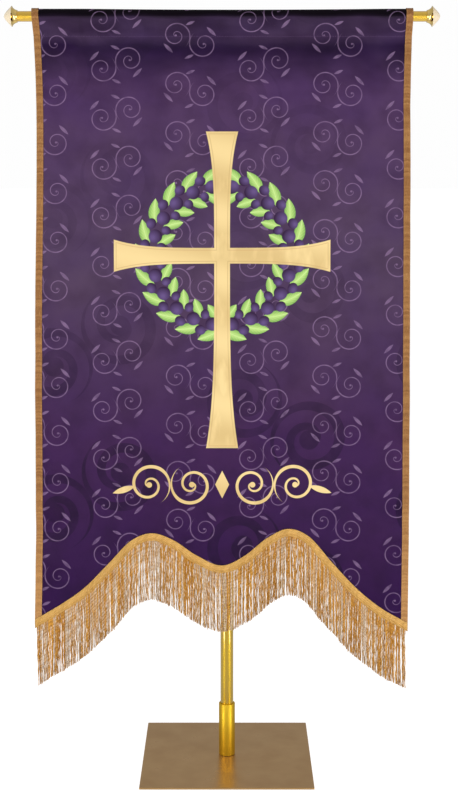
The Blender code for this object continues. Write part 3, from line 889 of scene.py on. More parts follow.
@dataclass(frozen=True)
class HangingForm:
    """Shape in which the cloth hangs from its crossbar: the sleeve, the folds, both edges and the shaped hem.

    A place on the cloth is a share of its width and a level. Below the seam the level is the height, and
    above it the level goes on along the cloth, up the sleeve's front, over the crossbar and down behind to
    the tail.
    """

    bar_y: float = -0.038
    bar_z: float = 1.8255
    seam_drop: float = 0.0475
    seam_tail: float = 0.006
    sleeve_radius: float = 0.0155
    back_gap: float = 0.0019
    arc_steps: int = 48
    sleeve_wave: float = 0.0022
    sleeve_wave_length: float = 0.185
    sleeve_wave_turn: float = 0.8
    crest_lift: float = 0.0022
    crest_middle: float = 0.02
    crest_reach: float = 0.36
    broad_wave: float = 0.0022
    broad_wave_length: float = 0.33
    broad_wave_turn: float = 2.2
    broad_wave_start: float = 0.25
    edge_reach: float = 0.05
    seam_pucker: float = 0.00045
    seam_pucker_length: float = 0.027
    seam_pucker_reach: float = 0.016
    # Height, left edge, right edge
    side_outline: tuple[tuple[float, float, float], ...] = (
        (0.35, -0.4715, 0.4437), (0.53, -0.4676, 0.4446), (0.9, -0.4663, 0.445),
        (1.14, -0.4645, 0.4443), (1.39, -0.4598, 0.4438), (1.64, -0.4589, 0.4424),
        (1.72, -0.461, 0.4428), (1.78, -0.4642, 0.4444), (1.84, -0.468, 0.4465),
    )
    # Place across, and height of the fringe header's upper edge
    hem_line: tuple[tuple[float, float], ...] = (
        (-0.4715, 0.3555), (-0.409, 0.392), (-0.35, 0.434), (-0.291, 0.494), (-0.232, 0.554),
        (-0.186, 0.571), (-0.134, 0.555), (-0.076, 0.516), (-0.008, 0.4905), (0.042, 0.514),
        (0.1, 0.56), (0.149, 0.5815), (0.198, 0.564), (0.257, 0.498), (0.316, 0.435),
        (0.375, 0.387), (0.4437, 0.348),
    )
    # Place across, height, half width, half height, lean, depth (below zero for a pillow)
    folds: tuple[tuple[float, ...], ...] = (
        (-0.402, 1.733, 0.05, 0.045, 0.00, -0.005), (-0.306, 1.735, 0.04, 0.045, 0.25, 0.004),
        (-0.01, 1.752, 0.3, 0.018, 0.00, 0.002), (0.38, 1.69, 0.024, 0.09, -0.53, 0.005),
        (0.418, 1.735, 0.03, 0.045, 0.00, -0.004), (-0.12, 0.7, 0.11, 0.16, 0.3, -0.0025),
        (0.21, 0.86, 0.09, 0.2, -0.2, 0.0025),
        (-0.345, 1.748, 0.016, 0.03, 0.45, 0.0012), (-0.25, 1.757, 0.02, 0.022, 0.3, -0.0009),
        (0.31, 1.75, 0.022, 0.026, -0.35, 0.0011), (0.345, 1.64, 0.012, 0.06, -0.5, -0.0012),
        (0.405, 1.6, 0.012, 0.04, -0.3, 0.001), (-0.425, 1.64, 0.016, 0.05, 0.25, 0.001),
    )
    # Side (-1 left, 1 right), height, half height, depth
    edge_puckers: tuple[tuple[float, ...], ...] = (
        (-1, 1.01, 0.034, 0.004), (-1, 0.923, 0.032, -0.0035), (-1, 0.812, 0.034, 0.003),
        (-1, 0.64, 0.032, -0.003), (-1, 0.575, 0.03, 0.0038), (-1, 0.492, 0.03, -0.003),
        (1, 1.613, 0.032, 0.004), (1, 1.348, 0.034, 0.004), (1, 0.984, 0.036, 0.0038),
        (1, 0.9, 0.032, -0.003), (1, 0.8, 0.034, 0.003), (1, 0.652, 0.034, -0.003),
        (1, 0.553, 0.032, -0.0028),
        (-1, 1.45, 0.02, 0.0011), (-1, 1.29, 0.018, -0.001), (-1, 1.14, 0.016, 0.001),
        (1, 1.48, 0.018, -0.0011), (1, 1.215, 0.018, 0.001), (1, 1.09, 0.016, -0.0011),
    )
    # Height at which the cloth's width is read
    width_level: float = 0.53
    # Steps along each straight part of the sleeve's section
    straight_steps: int = 8

    @property
    def seam_level(self) -> float:
        """Level of the sleeve's seam."""
        return self.bar_z - self.seam_drop

    @property
    def sides(self) -> tuple[float, float]:
        """Places across of both edges of the cloth, near the hem."""
        left, right = self.edges(np.array([self.width_level]))
        return float(left[0]), float(right[0])

    @property
    def hem_ends(self) -> tuple[float, float]:
        """Places across of both ends of the hem's line."""
        return self.hem_line[0][0], self.hem_line[-1][0]

    def edges(self, height: np.ndarray) -> tuple[np.ndarray, np.ndarray]:
        """Places across of both edges of the cloth at a height."""
        table = np.array(self.side_outline)
        return smooth_line(table[:, (0, 1)], height), smooth_line(table[:, (0, 2)], height)

    def hem(self, across: np.ndarray) -> np.ndarray:
        """Height of the header's upper edge."""
        return smooth_line(np.array(self.hem_line), across)

    def fold_depth(self, across: np.ndarray, height: np.ndarray) -> np.ndarray:
        """How far the hanging face lies behind its flat plane."""
        turn = self.broad_wave_turn * (self.bar_z - height)
        fade = np.minimum(1.0, (self.seam_level - height) / self.broad_wave_start)
        depth = self.broad_wave * fade * np.sin(math.tau * across / self.broad_wave_length + turn)
        for x, z, wide, tall, lean, deep in self.folds:
            off = (across - x - lean * (height - z)) / wide
            depth = depth + deep * np.exp(-(off**2) - ((height - z) / tall) ** 2)
        left, right = self.edges(height)
        for side, z, tall, deep in self.edge_puckers:
            inward = np.abs((left if side < 0 else right) - across) / self.edge_reach
            depth = depth + deep * np.exp(-(inward**2) - ((height - z) / tall) ** 2)
        near_seam = np.exp(-(((self.seam_level - height) / self.seam_pucker_reach) ** 2))
        ripple = np.sin(math.tau * across / self.seam_pucker_length + 1.3 * np.sin(across * 23.0))
        return depth + self.seam_pucker * near_seam * ripple

    def sleeve_table(self) -> np.ndarray:
        """Section of the sleeve from the seam's front round to the tail.

        Returns:
            Rows of (length from the seam, forward, up, share of the front's waves, share of the crest's lift,
            share of the seam's own folds), round the bar's axis.
        """
        radius = self.sleeve_radius
        low = math.asin(radius / self.seam_drop)
        front = np.array((radius * math.cos(low), -radius * math.sin(low)))
        back = np.array((-front[0], front[1]))
        seam = np.array((0.0, -self.seam_drop))
        seam_back = np.array((-self.back_gap, -self.seam_drop))
        rows = []
        shares = np.linspace(0.0, 1.0, self.straight_steps + 1)
        for share in shares:
            rows.append((*(seam + (front - seam) * share), math.sin(math.pi * share), 0.0, 1.0 - share))
        sweep = math.pi + 2 * low
        for step in range(1, self.arc_steps):
            angle = -low + sweep * step / self.arc_steps
            point = (radius * math.cos(angle), radius * math.sin(angle))
            rows.append((*point, 0.0, max(0.0, math.sin(angle)), 0.0))
        for share in shares:
            rows.append((*(back + (seam_back - back) * share), 0.0, 0.0, share))
        rows.append((*(seam_back - (0.0, self.seam_tail)), 0.0, 0.0, 1.0))
        table = np.array(rows)
        steps = np.hypot(*np.diff(table[:, :2], axis=0).T)
        return np.column_stack([np.concatenate([[0.0], np.cumsum(steps)]), table])

    @property
    def top_level(self) -> float:
        """Level of the tail's edge, where the cloth ends behind the seam."""
        return self.seam_level + self.sleeve_table()[-1, 0]

    def surface(self, share: np.ndarray, level: np.ndarray) -> np.ndarray:
        """Places on the cloth's middle surface.

        Args:
            share: shares of the cloth's width, from its left edge.
            level: levels on the cloth.

        Returns:
            Places, with one more axis of 3 than the inputs.
        """
        table = self.sleeve_table()
        beyond = np.maximum(level - self.seam_level, 0.0)
        forward, up, wave, top, seam = (np.interp(beyond, table[:, 0], table[:, i]) for i in range(1, 6))
        height = np.where(level <= self.seam_level, level, self.bar_z + up)
        left, right = self.edges(height)
        across = left + share * (right - left)
        folds = seam * self.fold_depth(across, np.minimum(height, self.seam_level))
        swell = np.sin(math.tau * across / self.sleeve_wave_length + self.sleeve_wave_turn)
        swell = self.sleeve_wave * 0.5 * (1.0 + swell)
        lift = self.crest_lift * np.minimum(1.0, ((across - self.crest_middle) / self.crest_reach) ** 2)
        y = self.bar_y - forward - wave * swell + folds
        return np.stack([across, y, height + top * lift], axis=-1)


# ---- The banner ----


@dataclass
class BannerCloth:
    """The satin sheet: its sleeve, seam and hanging face, with the cut-out behind for the bracket."""

    form: HangingForm
    columns: int = 132
    body_rows: int = 290
    sleeve_rows: int = 42
    thickness: float = 0.0008
    under_header: float = 0.0155
    cutout_half: float = 0.032
    # The folds and the drawn-in edges take up a little of the flat width
    taken_up: float = 1.006
    cutout_levels: tuple[float, float] = (0.089, 0.1398)

    def build(self, finish: SatinFinish) -> Item:
        """Makes the sheet.

        Args:
            finish: the satin.

        Returns:
            The sheet, thickened, with its face and its back in their own finishes.
        """
        shares = np.linspace(0.0, 1.0, self.columns + 1)
        sleeve = np.linspace(self.form.top_level, self.form.seam_level, self.sleeve_rows + 1)[:-1]
        left, right = self.form.edges(np.full_like(shares, 0.45))
        foot = self.form.hem(left + shares * (right - left)) - self.under_header
        down = np.linspace(0.0, 1.0, self.body_rows + 1)[:, None]
        body = self.form.seam_level + (foot[None, :] - self.form.seam_level) * down
        levels = np.vstack([np.repeat(sleeve[:, None], len(shares), axis=1), body])
        points = self.form.surface(np.broadcast_to(shares, levels.shape), levels)
        flat = np.stack([points[:, :, 0], levels], axis=-1)
        sheet = laid_grid("banner_sheet", points, flat, [finish.printed(), finish.plain()])
        turn_to_front(sheet)
        self.cut_window(sheet)
        thicken(sheet, self.thickness, 0.0, back=1)
        return sheet

    def cut_window(self, sheet: Item) -> None:
        """Cuts the opening in the sleeve's back layer that lets the bracket through."""
        shape = bmesh.new()
        shape.from_mesh(sheet.data)
        layer = shape.loops.layers.uv[CLOTH_MAP]
        low, high = (self.form.seam_level + level for level in self.cutout_levels)
        window = []
        for face in shape.faces:
            middle = sum((loop[layer].uv for loop in face.loops), Vector((0.0, 0.0))) / len(face.loops)
            if abs(middle.x) < self.cutout_half and low < middle.y < high:
                window.append(face)
        bmesh.ops.delete(shape, geom=window, context="FACES")
        shape.to_mesh(sheet.data)
        shape.free()

    def flat_size(self) -> tuple[float, float, float]:
        """Width, length and area of the cloth as it was cut, before it was sewn and hung."""
        left, right = self.form.sides
        across = np.linspace(left, right, 401)
        lengths = self.form.top_level - self.form.hem(across) + self.under_header
        width = (right - left) * self.taken_up
        return width, float(lengths.max()), float(lengths.mean() * width)


@dataclass
class SideBraid:
    """Ribbed braid down one side, over the sleeve and down behind it."""

    form: HangingForm
    side: int
    width: float = 0.0166
    inset: float = 0.0002
    thickness: float = 0.001
    lift: float = 0.0005
    rib_pitch: float = 0.004
    rib_height: float = 0.0006
    rib_slant: float = 0.0021
    cord_height: float = 0.00055
    tone_count: int = 512
    middle_tone: float = 0.14
    lighter_below: tuple[float, float] = (0.42, 0.72)
    columns: int = 10
    row_step: float = 0.0008
    foot_drop: float = 0.004
    # Shares of the half width: place and half width of the edge cords, half width of the middle cord
    cord_place: float = 0.84
    cord_half: float = 0.13
    middle_half: float = 0.16
    middle_cord: float = 0.4
    strip_half: float = 0.62
    low_tone: float = 0.4
    rib_tone: float = 0.4
    seed: int = 5

    def build(self, material: Material) -> Item:
        """Makes the braid.

        Args:
            material: its yarn.

        Returns:
            The braid, thickened towards the cloth.
        """
        left, right = self.form.sides
        share = np.linspace(self.inset, self.inset + self.width, self.columns + 1) / (right - left)
        shares = share if self.side < 0 else 1.0 - share[::-1]
        edge = left if self.side < 0 else right
        foot = float(self.form.hem(np.array([edge]))[0]) - self.foot_drop
        count = int((self.form.top_level - foot) / self.row_step)
        levels = np.linspace(self.form.top_level, foot, count + 1)
        levels = np.repeat(levels[:, None], len(shares), axis=1)
        points = self.form.surface(np.broadcast_to(shares, levels.shape), levels)
        place = np.broadcast_to(np.linspace(-1.0, 1.0, self.columns + 1), levels.shape)
        off = np.abs(place)
        slant = levels + self.rib_slant * off
        ribs = np.abs(np.sin(math.pi * slant / self.rib_pitch))
        cords = np.exp(-(((off - self.cord_place) / self.cord_half) ** 2))
        middle = np.exp(-((place / self.middle_half) ** 2))
        relief = self.rib_height * ribs + self.cord_height * (cords + self.middle_cord * middle)
        points = points + facing(points) * (self.lift + self.thickness + relief)[:, :, None]
        rib = np.floor(slant / self.rib_pitch).astype(int) % self.tone_count
        chance = np.random.default_rng(self.seed + self.side)
        strip = np.where(off > self.strip_half, 0.0, self.middle_tone)
        height = np.clip((levels - self.lighter_below[0]) / np.ptp(self.lighter_below), 0.0, 1.0)
        tone = self.low_tone * height + strip + self.rib_tone * chance.random(self.tone_count)[rib]
        name = "braid_left" if self.side < 0 else "braid_right"
        flat = np.stack([place * 0.5, levels], axis=-1)
        return laid_band(name, points, flat, material, tone, self.thickness)


@dataclass
class FringeHeader:
    """Woven header with slanting ribs, sewn along the shaped hem."""

    form: HangingForm
    height: float = 0.019
    thickness: float = 0.0013
    lift: float = 0.0011
    braid_lift: float = 0.0012
    braid_width: float = 0.0186
    braid_ramp: float = 0.014
    rib_pitch: float = 0.0042
    rib_height: float = 0.0011
    # Share of the height at which each woven band starts, and its share of the height
    bands: tuple[tuple[float, float], ...] = ((0.0, 0.6), (0.64, 0.36))
    rows: int = 14
    step: float = 0.00095
    samples: int = 4000
    inset: float = 0.0008
    # Share of the height where the ribs turn the other way, their run, and how far the lower ones are shifted
    split: float = 0.62
    slant_run: float = 0.012
    lower_shift: float = 0.0149
    edge_wave: float = 0.0005
    least_rib: float = 0.15
    band_height: float = 0.0003
    # Tone of all ribs, its spread from rib to rib, and the lower band's own
    tones: tuple[float, float, float] = (0.1, 0.42, 0.25)
    seed: int = 8

    def stations(self) -> tuple[np.ndarray, np.ndarray]:
        """Evenly spaced stations along the hem's line.

        Returns:
            Their places across, and how much longer the line is there than its run across.
        """
        left, right = self.form.hem_ends
        line = np.linspace(left + self.inset, right - self.inset, self.samples)
        heights = self.form.hem(line)
        along = np.concatenate([[0.0], np.cumsum(np.hypot(np.diff(line), np.diff(heights)))])
        marks = np.linspace(0.0, along[-1], int(along[-1] / self.step) + 1)
        places = np.interp(marks, along, line)
        steep = np.interp(places, line, np.hypot(1.0, np.gradient(heights, line)))
        return places, steep

    def over_cloth(self, across: np.ndarray) -> np.ndarray:
        """Gap from the cloth's face to the header's back, larger where it passes over the braids."""
        left, right = self.form.hem_ends
        edge = np.minimum(across - left, right - across)
        share = np.clip((edge - self.braid_width) / self.braid_ramp, 0.0, 1.0)
        return self.lift + self.braid_lift * (1.0 - share)

    def front(self, across: np.ndarray, level: np.ndarray) -> np.ndarray:
        """Places on the header's front before its ribs."""
        depth = self.form.fold_depth(across, level)
        y = self.form.bar_y + depth - self.over_cloth(across) - self.thickness
        return np.stack([across, y, level], axis=-1)

    def build(self, material: Material) -> Item:
        """Makes the header.

        Args:
            material: its yarn.

        Returns:
            The header, thickened towards the cloth.
        """
        places, steep = self.stations()
        down = np.linspace(0.0, 1.0, self.rows + 1)[:, None]
        top = self.form.hem(places)
        along = np.arange(len(places))[None, :] * self.step
        edge = self.edge_wave * np.sin(math.tau * along[0] / self.rib_pitch)
        levels = top + edge - down * (self.height * steep + edge)
        points = self.front(np.broadcast_to(places, levels.shape), levels)
        run = down * self.slant_run
        slant = np.where(down < self.split, along + run, along - run + self.lower_shift)
        ribs = np.abs(np.sin(math.pi * slant / self.rib_pitch))
        band = sum(
            np.sin(math.pi * np.clip((down - start) / wide, 0.0, 1.0)) ** 0.5 for start, wide in self.bands)
        relief = self.rib_height * ribs * np.clip(band, self.least_rib, 1.0)
        points[:, :, 1] -= relief + self.band_height * band
        flat = np.stack([np.broadcast_to(down * 0.5, levels.shape), along + down * 0.01], axis=-1)
        rib = np.floor(slant / self.rib_pitch).astype(int) % len(places)
        base, spread, lower = self.tones
        tone = base + spread * np.random.default_rng(self.seed).random(len(places))[rib]
        tone = tone + lower * (down > self.bands[0][1])
        return laid_band("fringe_header", points, flat, material, tone, self.thickness)


@dataclass
class FringeStrands:
    """Hanging strands of twisted yarn, each a tapered thread with its own sway."""

    header: FringeHeader
    count: int = 760
    length: float = 0.146
    radius: float = 0.00108
    sides: int = 5
    segments: int = 12
    root_cover: float = 0.004
    inset: float = 0.006
    sway: float = 0.0016
    sway_length: float = 0.09
    depth: float = 0.0014
    seed: int = 11
    # How far a strand's place strays, as a share of the pitch
    stray: float = 0.3
    lean: float = 0.0012
    bow: float = 0.0008
    behind: float = 0.0011
    stretch: float = 0.007
    thick: tuple[float, float] = (0.8, 1.2)
    taper: float = 0.25
    sway_turn: float = 2.5
    # Size and turns down the strand of its kinks across and in depth
    kink: tuple[float, float] = (0.0007, 27.0)
    kink_depth: tuple[float, float] = (0.0004, 15.0)

    def strand(self) -> bpy.types.Mesh:
        """One straight strand from the origin down, with its map."""
        shape = bmesh.new()
        layer = shape.loops.layers.uv.new(CLOTH_MAP)
        ring = bmesh.ops.create_circle(shape, segments=self.sides, radius=self.radius, cap_ends=True)
        face = ring["verts"][0].link_faces[0]
        drop = (self.length + self.root_cover) / self.segments
        bottom = face
        for _ in range(self.segments):
            pulled = bmesh.ops.extrude_discrete_faces(shape, faces=[bottom])
            bottom = pulled["faces"][0]
            bmesh.ops.translate(shape, verts=bottom.verts, vec=(0, 0, -drop))
        bmesh.ops.recalc_face_normals(shape, faces=shape.faces)
        for side in shape.faces:
            turns = [math.atan2(loop.vert.co.y, loop.vert.co.x) / math.tau for loop in side.loops]
            wraps = len(side.loops) == 4 and max(turns) - min(turns) > 0.5
            for loop, turn in zip(side.loops, turns):
                loop[layer].uv = (turn + 1.0 if wraps and turn < 0 else turn, -loop.vert.co.z)
        return closed_mesh("strand", shape)

    def build(self, material: Material) -> Item:
        """Makes all strands as one piece.

        Args:
            material: their yarn.

        Returns:
            The strands.
        """
        chance = random.Random(self.seed)
        places, steep = self.header.stations()
        first, last = self.inset / self.header.step, len(places) - 1 - self.inset / self.header.step
        one = self.strand()
        shape = bmesh.new()
        tint = shape.verts.layers.float.new("tint")
        for strand in range(self.count):
            place = strand + 0.5 + chance.uniform(-self.stray, self.stray)
            mark = first + (last - first) * place / self.count
            across = float(np.interp(mark, range(len(places)), places))
            steepness = float(np.interp(mark, range(len(places)), steep))
            foot = float(self.header.form.hem(np.array([across]))[0]) - self.header.height * steepness
            root = self.header.front(np.array([across]), np.array([foot]))[0]
            fresh = add_copy(shape, one)
            tone = chance.random()
            self.bend(fresh, Vector(root), chance)
            for vert in fresh:
                vert[tint] = tone
        bpy.data.meshes.remove(one)
        return make_object("fringe_strands", shape, material, 180)

    def bend(self, verts: Sequence[bmesh.types.BMVert], root: Vector, chance: random.Random) -> None:
        """Hangs one strand from its root.

        Args:
            verts: the strand's own vertices, straight down from the origin.
            root: where the strand leaves the header.
            chance: the seeded source of its unevenness.
        """
        lean, bow = chance.gauss(0, self.lean), chance.gauss(0, self.bow)
        turn = chance.uniform(0, math.tau)
        behind = chance.choice((0.0, self.behind)) + self.header.thickness * 0.5
        depth, stretch = chance.gauss(0, self.depth), 1.0 + chance.gauss(0, self.stretch)
        thick = chance.uniform(*self.thick)
        for vert in verts:
            down = max(0.0, -vert.co.z - self.root_cover) / self.length
            swing = math.sin(math.tau * root.x / self.sway_length + self.sway_turn * down)
            kink = self.kink[0] * math.sin(down * self.kink[1] + turn)
            kink_depth = self.kink_depth[0] * math.cos(down * self.kink_depth[1] + turn)
            taper = thick * (1.0 - self.taper * down**3)
            common = self.sway * down * swing
            x = vert.co.x * taper + common + lean * down + bow * math.sin(math.pi * down) + kink
            y = vert.co.y * taper + behind + depth * down + kink_depth
            z = (vert.co.z + self.root_cover) * (stretch if vert.co.z < -self.root_cover else 1.0)
            vert.co = root + Vector((x, y, z))


@dataclass
class Stitching:
    """Lockstitches along the sleeve's seam and along both edges of the header."""

    form: HangingForm
    header: FringeHeader
    length: float = 0.003
    pitch: float = 0.004
    radius: float = 0.00032
    # How far the stitches stand proud of the cloth and of the header
    seam_lift: float = 0.0005
    header_lift: float = 0.0006
    seam_ends: tuple[float, float] = (0.021, 0.979)
    seam_samples: int = 600
    # Row's name and its share of the header's height
    header_rows: tuple[tuple[str, float], ...] = (
        ("header_stitches_upper", 0.06), ("header_stitches_lower", 0.6),
    )

    def stitch(self) -> bpy.types.Mesh:
        """One short stitch along X."""
        shape = bmesh.new()
        bmesh.ops.create_uvsphere(shape, u_segments=6, v_segments=4, radius=1.0)
        size = Matrix.Diagonal((self.length / 2, self.radius, self.radius, 1.0))
        bmesh.ops.transform(shape, matrix=size, verts=shape.verts)
        return closed_mesh("stitch", shape)

    def along(self, name: str, path: np.ndarray, material: Material) -> Item:
        """Sews a row of stitches along a path.

        Args:
            name: the row's name.
            path: closely spaced places on the cloth's face.
            material: the thread.

        Returns:
            The row as one piece.
        """
        run = np.concatenate([[0.0], np.cumsum(np.linalg.norm(np.diff(path, axis=0), axis=1))])
        one = self.stitch()
        shape = bmesh.new()
        for mark in np.arange(self.pitch, run[-1] - self.pitch, self.pitch):
            middle = Vector([np.interp(mark, run, path[:, axis]) for axis in range(3)])
            ahead = Vector([np.interp(mark + 0.001, run, path[:, axis]) for axis in range(3)])
            turn = Vector((1.0, 0.0, 0.0)).rotation_difference(ahead - middle).to_matrix().to_4x4()
            bmesh.ops.transform(shape, matrix=Matrix.Translation(middle) @ turn, verts=add_copy(shape, one))
        bpy.data.meshes.remove(one)
        return make_object(name, shape, material, 180)

    def build(self, seam_thread: Material, gold_thread: Material) -> list[Item]:
        """Sews the seam and the header.

        Args:
            seam_thread: the seam's thread.
            gold_thread: the header's thread.

        Returns:
            The rows of stitches.
        """
        shares = np.linspace(*self.seam_ends, self.seam_samples)
        seam = self.form.surface(shares, np.full_like(shares, self.form.seam_level))
        seam[:, 1] -= self.seam_lift
        rows = [self.along("seam_stitches", seam, seam_thread)]
        places, steep = self.header.stations()
        for name, share in self.header_rows:
            level = self.header.form.hem(places) - self.header.height * steep * share
            path = self.header.front(places, level)
            path[:, 1] -= self.header_lift
            rows.append(self.along(name, path, gold_thread))
        return rows


# ---- The stand ----


def turned_piece(profile: Sequence[tuple[float, float]], sides: int, closed: bool) -> bmesh.types.BMesh:
    """Turns a profile about Z.

    Args:
        profile: its corners as (radius, along).
        sides: how many steps the turn has.
        closed: whether the last corner joins the first, or both lie on the axis.

    Returns:
        The turned shape.
    """
    shape = bmesh.new()
    corners = [shape.verts.new((radius, 0.0, along)) for radius, along in profile]
    edges = [shape.edges.new((corners[i - 1], corners[i])) for i in range(0 if closed else 1, len(corners))]
    bmesh.ops.spin(
        shape, geom=corners + edges, axis=(0, 0, 1), cent=(0, 0, 0), angle=math.tau, steps=sides,
        use_merge=True)
    bmesh.ops.remove_doubles(shape, verts=shape.verts, dist=1e-6)
    bmesh.ops.recalc_face_normals(shape, faces=shape.faces)
    return shape


@dataclass(frozen=True)
class TurnedTube:
    """Round tube with rounded lips, turned about its own axis."""

    name: str
    outer: float
    inner: float
    low: float
    high: float
    lip: float
    sides: int = 96
    lip_steps: int = 3
    sharp: float = 40.0

    def profile(self) -> list[tuple[float, float]]:
        """Section of the wall as (radius, along), with the outer lips rounded."""
        points = [(self.inner, self.low)]
        for centre, start in ((self.low + self.lip, -90.0), (self.high - self.lip, 0.0)):
            for step in range(self.lip_steps + 1):
                angle = math.radians(start + 90.0 * step / self.lip_steps)
                radius = self.outer - self.lip + self.lip * math.cos(angle)
                points.append((radius, centre + self.lip * math.sin(angle)))
        points.append((self.inner, self.high))
        return points

    def build(self, material: Material, place: Matrix) -> Item:
        """Turns the tube and lays it in its place.

        Args:
            material: its metal.
            place: where its axis and origin go.

        Returns:
            The tube.
        """
        shape = turned_piece(self.profile(), self.sides, closed=True)
        bmesh.ops.transform(shape, matrix=place, verts=shape.verts)
        return make_object(self.name, shape, material, self.sharp)


@dataclass
class Finial:
    """Polished trumpet with a sharp rim and a paler cone beyond it, on the end of a crossbar tube."""

    name: str
    rim_reach: float = 0.504
    flare_length: float = 0.013
    bore_depth: float = 0.009
    bore_radius: float = 0.013
    sides: int = 96
    sharp: float = 40.0
    flare_steps: int = 13
    cone_steps: int = 17
    # Distance from the inner face, radius
    flare: tuple[tuple[float, float], ...] = (
        (0.0, 0.015), (0.004, 0.0161), (0.0076, 0.0182), (0.0106, 0.0212), (0.01275, 0.025),
    )
    cone: tuple[tuple[float, float], ...] = (
        (0.01325, 0.025), (0.0183, 0.0198), (0.0231, 0.0148), (0.0276, 0.0096), (0.0307, 0.005),
        (0.0325, 0.0),
    )

    def profile(self) -> list[tuple[float, float]]:
        """Section as (radius, along), from the bore's floor out to the tip."""
        start = self.rim_reach - self.flare_length
        floor = start + self.bore_depth
        points = [(0.0, floor), (self.bore_radius, floor), (self.bore_radius, start)]
        for rows, count in ((self.flare, self.flare_steps), (self.cone, self.cone_steps)):
            table = np.array(rows)
            places = np.linspace(table[0, 0], table[-1, 0], count)
            points += zip(smooth_line(table, places), start + places)
        return points

    def build(
        self, gold: Material, pale_gold: Material, place: Matrix,
    ) -> Item:
        """Makes the finial with its bore.

        Args:
            gold: the trumpet's metal.
            pale_gold: the cone's metal.
            place: where its axis and origin go.

        Returns:
            The finial.
        """
        shape = turned_piece(self.profile(), self.sides, closed=False)
        for face in shape.faces:
            face.material_index = int(face.calc_center_median().z > self.rim_reach)
        bmesh.ops.transform(shape, matrix=place, verts=shape.verts)
        item = make_object(self.name, shape, gold, self.sharp)
        item.data.materials.append(pale_gold)
        return item


@dataclass
class FloorStand:
    """Base plate, socket, pole, crossbar, bracket and finials."""

    form: HangingForm
    bar_x: float = -0.0115
    # Name, outer and inner radius, low and high end, radius of the lips
    pole: TurnedTube = TurnedTube("pole_tube", 0.0159, 0.0143, 0.0043, 1.8345, 0.0006)
    socket: TurnedTube = TurnedTube("socket_tube", 0.0199, 0.0162, 0.0043, 0.134, 0.0012)
    middle: TurnedTube = TurnedTube("bar_middle", 0.0143, 0.013, -0.44, 0.44, 0.0004)
    end: TurnedTube = TurnedTube("bar_end", 0.0127, 0.0115, 0.32, 0.4997, 0.0004)
    bevel: float = 0.0005
    sharp_turn: float = 0.8

    def along_bar(self, side: int) -> Matrix:
        """Place of a turned piece on the crossbar's axis, pointing to a side."""
        axis = Matrix.Translation((self.bar_x, self.form.bar_y, self.form.bar_z))
        return axis @ Matrix.Rotation(side * math.pi / 2, 4, "Y")

    def build(self) -> None:
        """Makes the stand's pieces and dresses the solids that stay."""
        pole_brass, bar_brass = POLE_BRASS.material(), BAR_BRASS.material()
        gold, pale_gold = FLARE_GOLD.material(), CONE_GOLD.material()
        upright = Matrix.Identity(4)
        set_on_root(self.pole.build(pole_brass, upright), Slot.METAL, "pole")
        set_on_root(self.socket.build(SOCKET_BRASS.material(), upright), Slot.METAL, "base_socket")
        set_on_root(self.middle.build(bar_brass, self.along_bar(1)), Slot.METAL, "crossbar_tube")
        for word, side in (("left", -1), ("right", 1)):
            place = self.along_bar(side)
            tube = replace(self.end, name=f"bar_{word}").build(bar_brass, place)
            set_on_root(tube, Slot.METAL, f"crossbar_end_{word}")
            finial = Finial(f"finial_end_{word}").build(gold, pale_gold, place)
            set_on_root(finial, Slot.METAL, f"finial_{word}")
        self.dress_bracket(pole_brass)
        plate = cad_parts["base_plate"]
        plate.data.materials.clear()
        plate.data.materials.append(PLATE_BRONZE.material())

    def dress_bracket(self, material: Material) -> None:
        """Eases the edges of a copy of the bracket's solid."""
        shape = bmesh.new()
        shape.from_mesh(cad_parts["crossbar_bracket"].data)
        bmesh.ops.remove_doubles(shape, verts=shape.verts, dist=1e-5)
        bmesh.ops.dissolve_limit(shape, angle_limit=0.01, verts=shape.verts, edges=shape.edges)
        sharp = [edge for edge in shape.edges if edge.is_manifold]
        sharp = [edge for edge in sharp if edge.calc_face_angle() > self.sharp_turn]
        bmesh.ops.bevel(
            shape, geom=sharp, offset=self.bevel, segments=2, profile=0.5, affect="EDGES", clamp_overlap=True)
        bracket = make_object("bar_bracket", shape, material, 30)
        set_on_root(bracket, Slot.METAL, "crossbar_bracket")


# ---- The picture ----


@dataclass(frozen=True)
class Softbox:
    """Large soft rectangular light that shines towards a height on the part's axis."""

    name: str
    place: Colour
    size: tuple[float, float]
    power: float
    aim: Colour

    def build(self) -> None:
        """Hangs the light."""
        light = bpy.data.lights.new(self.name, "AREA")
        light.shape = "RECTANGLE"
        light.size, light.size_y = self.size
        light.energy = self.power
        item = link(self.name, light)
        item.location = self.place
        item.rotation_euler = (Vector(self.aim) - Vector(self.place)).to_track_quat("-Z", "Y").to_euler()


